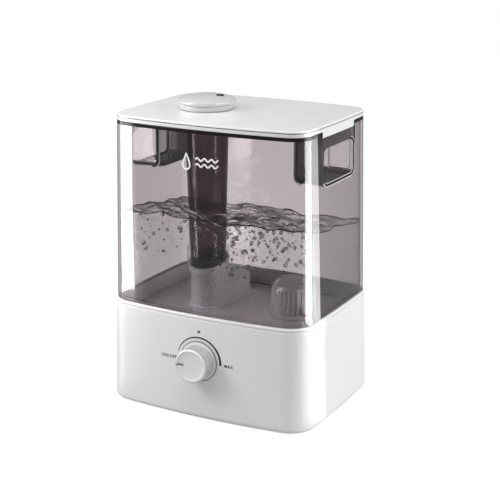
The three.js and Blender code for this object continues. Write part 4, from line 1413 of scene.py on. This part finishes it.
class HUMIDIFIER_OT_lid(Operator):
    """Builds the flat lid with its side tabs, and the seal under it."""

    bl_idname = "humidifier.lid"
    bl_label = "Lid"

    def execute(self, context):
        rim = tank_inset(HEIGHT)
        plate = body_skin(fillet(
            [
                (rim + 14, HEIGHT - 2.4), (rim + WALL, HEIGHT - 2.4, 0.6),
                (rim + WALL, LID_LOW, 0.3), (rim, LID_LOW, 0.4), (rim, 287.4), (rim + 0.7, 287.5),
                (rim + 0.7, 288.1), (rim, 288.2), (rim, HEIGHT, 1.0), (rim + 3.2, HEIGHT),
                (rim + 14, HEIGHT)
            ],
            steps=5
        ))
        skirt = body_skin(
            [
                (tank_inset(LID_LOW), TAB_LOW), (rim, LID_LOW + 1), (rim + WALL, LID_LOW + 1),
                (rim + WALL, TAB_LOW)
            ],
            True
        )
        lid = build("lid_plate", plate)
        tabs = []
        for reach in ((90, 115), (-115, -90)):
            tab = build("lid_tab", skirt)
            tabs.append(carve(tab, [block(reach, (-35, 35), (TAB_LOW - 1, HEIGHT))], "INTERSECT"))
        combine(lid, tabs, "UNION")
        carve(lid, [rod(24, 280, 295, MIST, 72)])
        fit_out(lid, "lid", "lid_white", ["lid_panel"], 28)
        # The lid's groove is painted dark grey as shade.
        refinish(lid, "groove", lambda m, n: 287.42 < m[2] < 288.18)
        inner = rim + WALL + 0.5
        band = fillet(
            [
                (inner, 280.4, 0.6), (inner, 287.3, 0.3), (inner + 2.2, 287.3, 0.3),
                (inner + 2.2, 280.4, 0.6)
            ],
            True
        )
        seal = build("lid_gasket", body_skin(band, True))
        fit_out(seal, "lid", "silicone", ["lid_seal"])
        return {"FINISHED"}


class HUMIDIFIER_OT_nozzle(Operator):
    """Builds the fixed collar and the nozzle that turns in it."""

    bl_idname = "humidifier.nozzle"
    bl_label = "Mist Nozzle"

    def execute(self, context):
        top = HEIGHT + 5.6
        ring = [
            (16, 276, 0.4), (19.2, 276, 0.4), (19.2, HEIGHT - 3.0), (23.7, HEIGHT - 3.0),
            (23.7, HEIGHT + 0.3), (25.4, HEIGHT + 0.3, 0.3), (26.3, HEIGHT + 1.2, 0.8),
            (26.9, top, 0.5), (16, top, 0.4)
        ]
        collar = build("nozzle_ring", lathe(fillet(ring, True), MIST, 96, True))
        # The collar takes the darker white as painted shade.
        fit_out(collar, "lid", "white_with_painted_shade", ["nozzle_collar"])
        low = top + 0.3
        profile = [
            (0, 301.6), (10, 301.2, 2), (13.6, 300, 1), (13.6, 287, 0.3), (15.6, 287, 0.3),
            (15.6, low), (27.6, low, 0.8), (28.9, low + 1.6, 1.0), (28.5, low + 3.6, 1.2),
            (25.6, low + 4.6, 1.2), (23.6, 301.6, 4), (17, 303.2, 8), (8, 303.8, 8), (0, 303.9)
        ]
        aim = math.radians(36)
        scoop = moved(block((9, 25), (-9, 9), (302.4, 306)), turn=aim, shift=(*MIST, 0))
        mouth = moved(block((9.8, 17), (-7.5, 7.5), (296, 306)), turn=aim, shift=(*MIST, 0))
        nozzle = build("nozzle_head", lathe(fillet(profile, steps=5), MIST, 96), [scoop, mouth])
        soften(nozzle, 0.35, 45)
        # The nozzle takes the darker white as painted shade.
        fit_out(nozzle, "nozzle", "white_with_painted_shade", ["mist_nozzle"])

        def in_mouth(middle, normal):
            x, y = middle[0] - MIST[0], middle[1] - MIST[1]
            along = x * math.cos(aim) + y * math.sin(aim)
            aside = y * math.cos(aim) - x * math.sin(aim)
            return 9.5 < along < 17.2 and abs(aside) < 7.7 and 295 < middle[2] < 302.6

        # The mouth's inner faces are painted black as shade in the opening.
        refinish(nozzle, "black", in_mouth)
        return {"FINISHED"}


class HUMIDIFIER_OT_inner_parts(Operator):
    """Gives the parts inside the machine, and the bottom cover, their finishes."""

    bl_idname = "humidifier.inner_parts"
    bl_label = "Inner Parts"

    groups = {
        "inner_white": "bottom_cover air_duct float_guide float valve_opener_pin valve_housing"
        " valve_plunger",
        "rubber": "transducer_seal valve_seal",
        "steel": "dial_shaft valve_spring fan_screw_1 fan_screw_2 board_screw_1 board_screw_2"
        " transducer_screw_1 transducer_screw_2 transducer_screw_3",
        "aluminium": "transducer_holder heat_sink", "brass": "transducer_disc board_coil",
        "board": "driver_board",
        "black": "potentiometer power_inlet fan_frame fan_rotor board_capacitor"
    }

    def execute(self, context):
        for key, names in self.groups.items():
            for name in names.split():
                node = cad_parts[name]
                node.data.materials.clear()
                node.data.materials.append(finish_for(key))
        return {"FINISHED"}


# ---- The stage ----


class HUMIDIFIER_OT_stage(Operator):
    """Sets the floor, the soft studio light and the camera."""

    bl_idname = "humidifier.stage"
    bl_label = "Stage, Lights and Camera"

    def execute(self, context):
        self.floor()
        self.sky()
        settings = context.scene.humidifier_stage
        soft, strip = settings.soft_light, settings.card_light
        self.lamp("right softbox", 106, 14, 1.3, (0.9, 1.0), soft * 1.5)
        self.lamp("near left key", -46, 32, 0.6, (0.26, 0.26), soft * 0.24)
        self.lamp("overhead softbox", 10, 78, 1.3, (0.9, 0.9), soft * 1.0)
        self.card("left card", (-88, -75), (-84, -34), strip * 2.1)
        self.card("right card", (88, -75), (106, 140), strip * 1.9)
        self.card("faint right card", (88, -75), (142.5, 152), strip * 0.6)
        self.card("low left card", (-88, -75), (-84, -34), strip * 0.5, low=0.0, high=0.092)
        self.card("low right card", (88, -75), (90, 150), strip * 0.5, low=0.0, high=0.092)
        self.camera(settings.lens)
        context.scene.view_settings.view_transform = "Standard"
        context.scene.cycles.transparent_max_bounces = 48
        return {"FINISHED"}

    def floor(self):
        corners = [(-9, -9, 0), (9, -9, 0), (9, 9, 0), (-9, 9, 0)]
        made = metre_mesh("floor", corners, [(0, 1, 2, 3)])
        finish = Finish("pale floor", (0.5, 0.5, 0.5), 0.8)
        finish.tone(finish.noise(3, 2), (0.48, 0.48, 0.48), (0.52, 0.52, 0.52))
        lit = finish.add("ShaderNodeBsdfDiffuse", Color=(0.93, 0.93, 0.93, 1))
        glow = finish.add("ShaderNodeEmission", Color=(1, 1, 1, 1), Strength=1.16)
        ray = finish.add("ShaderNodeLightPath").outputs["Is Camera Ray"]
        finish.show(finish.mix(ray, finish.shader, finish.mix(0.82, lit, glow)))
        made.data.materials.append(finish.material)
        made.visible_glossy = False

    def card(self, name, corner, azimuths, strength, distance=0.05, low=0.092, high=0.45):
        """An upright bright card near a corner of the body, which only shows in reflections."""
        centre = row_point(*corner, 0)
        points = []
        for azimuth in np.linspace(*azimuths, 5):
            for z in (low, high):
                turn = math.radians(azimuth)
                points.append((
                    centre[0] + distance * math.sin(turn), centre[1] - distance * math.cos(turn), z
                ))
        faces = [(2 * i, 2 * i + 2, 2 * i + 3, 2 * i + 1) for i in range(4)]
        made = metre_mesh(name, points, faces)
        paint = Finish(name, (1, 1, 1), 1.0)
        paint.show(paint.add("ShaderNodeEmission", Color=(1, 1, 1, 1), Strength=strength))
        made.data.materials.append(paint.material)
        for rays in ("camera", "diffuse", "shadow", "transmission", "volume_scatter"):
            setattr(made, f"visible_{rays}", False)

    def sky(self):
        world = bpy.data.worlds.new("studio")
        bpy.context.scene.world = world
        world.use_nodes = True
        tree = world.node_tree
        tree.nodes.clear()
        seen = place(tree, "ShaderNodeBackground", Color=(1, 1, 1, 1), Strength=1.15)
        lit = place(tree, "ShaderNodeBackground", Color=(1, 1, 1, 1), Strength=0.31)
        ray = place(tree, "ShaderNodeLightPath").outputs["Is Camera Ray"]
        mix = place(tree, "ShaderNodeMixShader", None, {0: ray, 1: lit, 2: seen})
        place(tree, "ShaderNodeOutputWorld", Surface=mix)

    def lamp(self, name, azimuth, elevation, distance, size, power):
        """A soft area light that looks at the middle of the machine from that side."""
        light = bpy.data.lights.new(name, "AREA")
        light.shape = "RECTANGLE"
        light.size, light.size_y = size
        light.energy = power
        made = linked(name, light)
        a, e = math.radians(azimuth), math.radians(elevation)
        out = Vector((math.sin(a) * math.cos(e), -math.cos(a) * math.cos(e), math.sin(e)))
        target = Vector((MIDDLE.x, MIDDLE.y, 0.15))
        made.location = target + out * distance
        made.visible_camera = False
        made.rotation_euler = (-out).to_track_quat("-Z", "Y").to_euler()

    def camera(self, lens):
        data = bpy.data.cameras.new("camera")
        data.lens = lens
        data.sensor_width = 36
        data.clip_end = 50
        made = linked("camera", data)
        made.location = row_point(*CAMERA_AT)
        made.rotation_euler = (math.radians(90 - CAMERA_DIP), 0, math.radians(CAMERA_TURN))
        bpy.context.scene.camera = made


class HUMIDIFIER_PT_panel(Panel):
    """Lists the humidifier's pieces and sizes."""

    bl_idname = "HUMIDIFIER_PT_panel"
    bl_label = "Humidifier"
    bl_space_type = "VIEW_3D"
    bl_region_type = "UI"
    bl_category = "Humidifier"

    def draw(self, context):
        column = self.layout.column(align=True)
        for operator in OPERATORS:
            column.operator(operator.bl_idname)
        for name, group in GROUPS.items():
            box = self.layout.box()
            for setting in group.__annotations__:
                box.prop(getattr(context.scene, name), setting)


OPERATORS = (
    HUMIDIFIER_OT_base, HUMIDIFIER_OT_feet_and_screws, HUMIDIFIER_OT_dial, HUMIDIFIER_OT_markings,
    HUMIDIFIER_OT_inner_parts, HUMIDIFIER_OT_tank, HUMIDIFIER_OT_mist_path,
    HUMIDIFIER_OT_filter_cap, HUMIDIFIER_OT_water, HUMIDIFIER_OT_lid, HUMIDIFIER_OT_nozzle,
    HUMIDIFIER_OT_stage
)
GROUPS = {
    "humidifier_colours": HumidifierColours, "humidifier_sizes": HumidifierSizes,
    "humidifier_stage": HumidifierStage
}
CLASSES = (*GROUPS.values(), *OPERATORS, HUMIDIFIER_PT_panel)


def register():
    for item in CLASSES:
        bpy.utils.register_class(item)
    for name, group in GROUPS.items():
        setattr(bpy.types.Scene, name, PointerProperty(type=group))


def unregister():
    for name in GROUPS:
        delattr(bpy.types.Scene, name)
    for item in reversed(CLASSES):
        bpy.utils.unregister_class(item)


def main():
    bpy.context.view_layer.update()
    register()
    for operator in OPERATORS:
        getattr(bpy.ops.humidifier, operator.bl_idname.split(".")[1])()


if __name__ == "__main__":
    main()
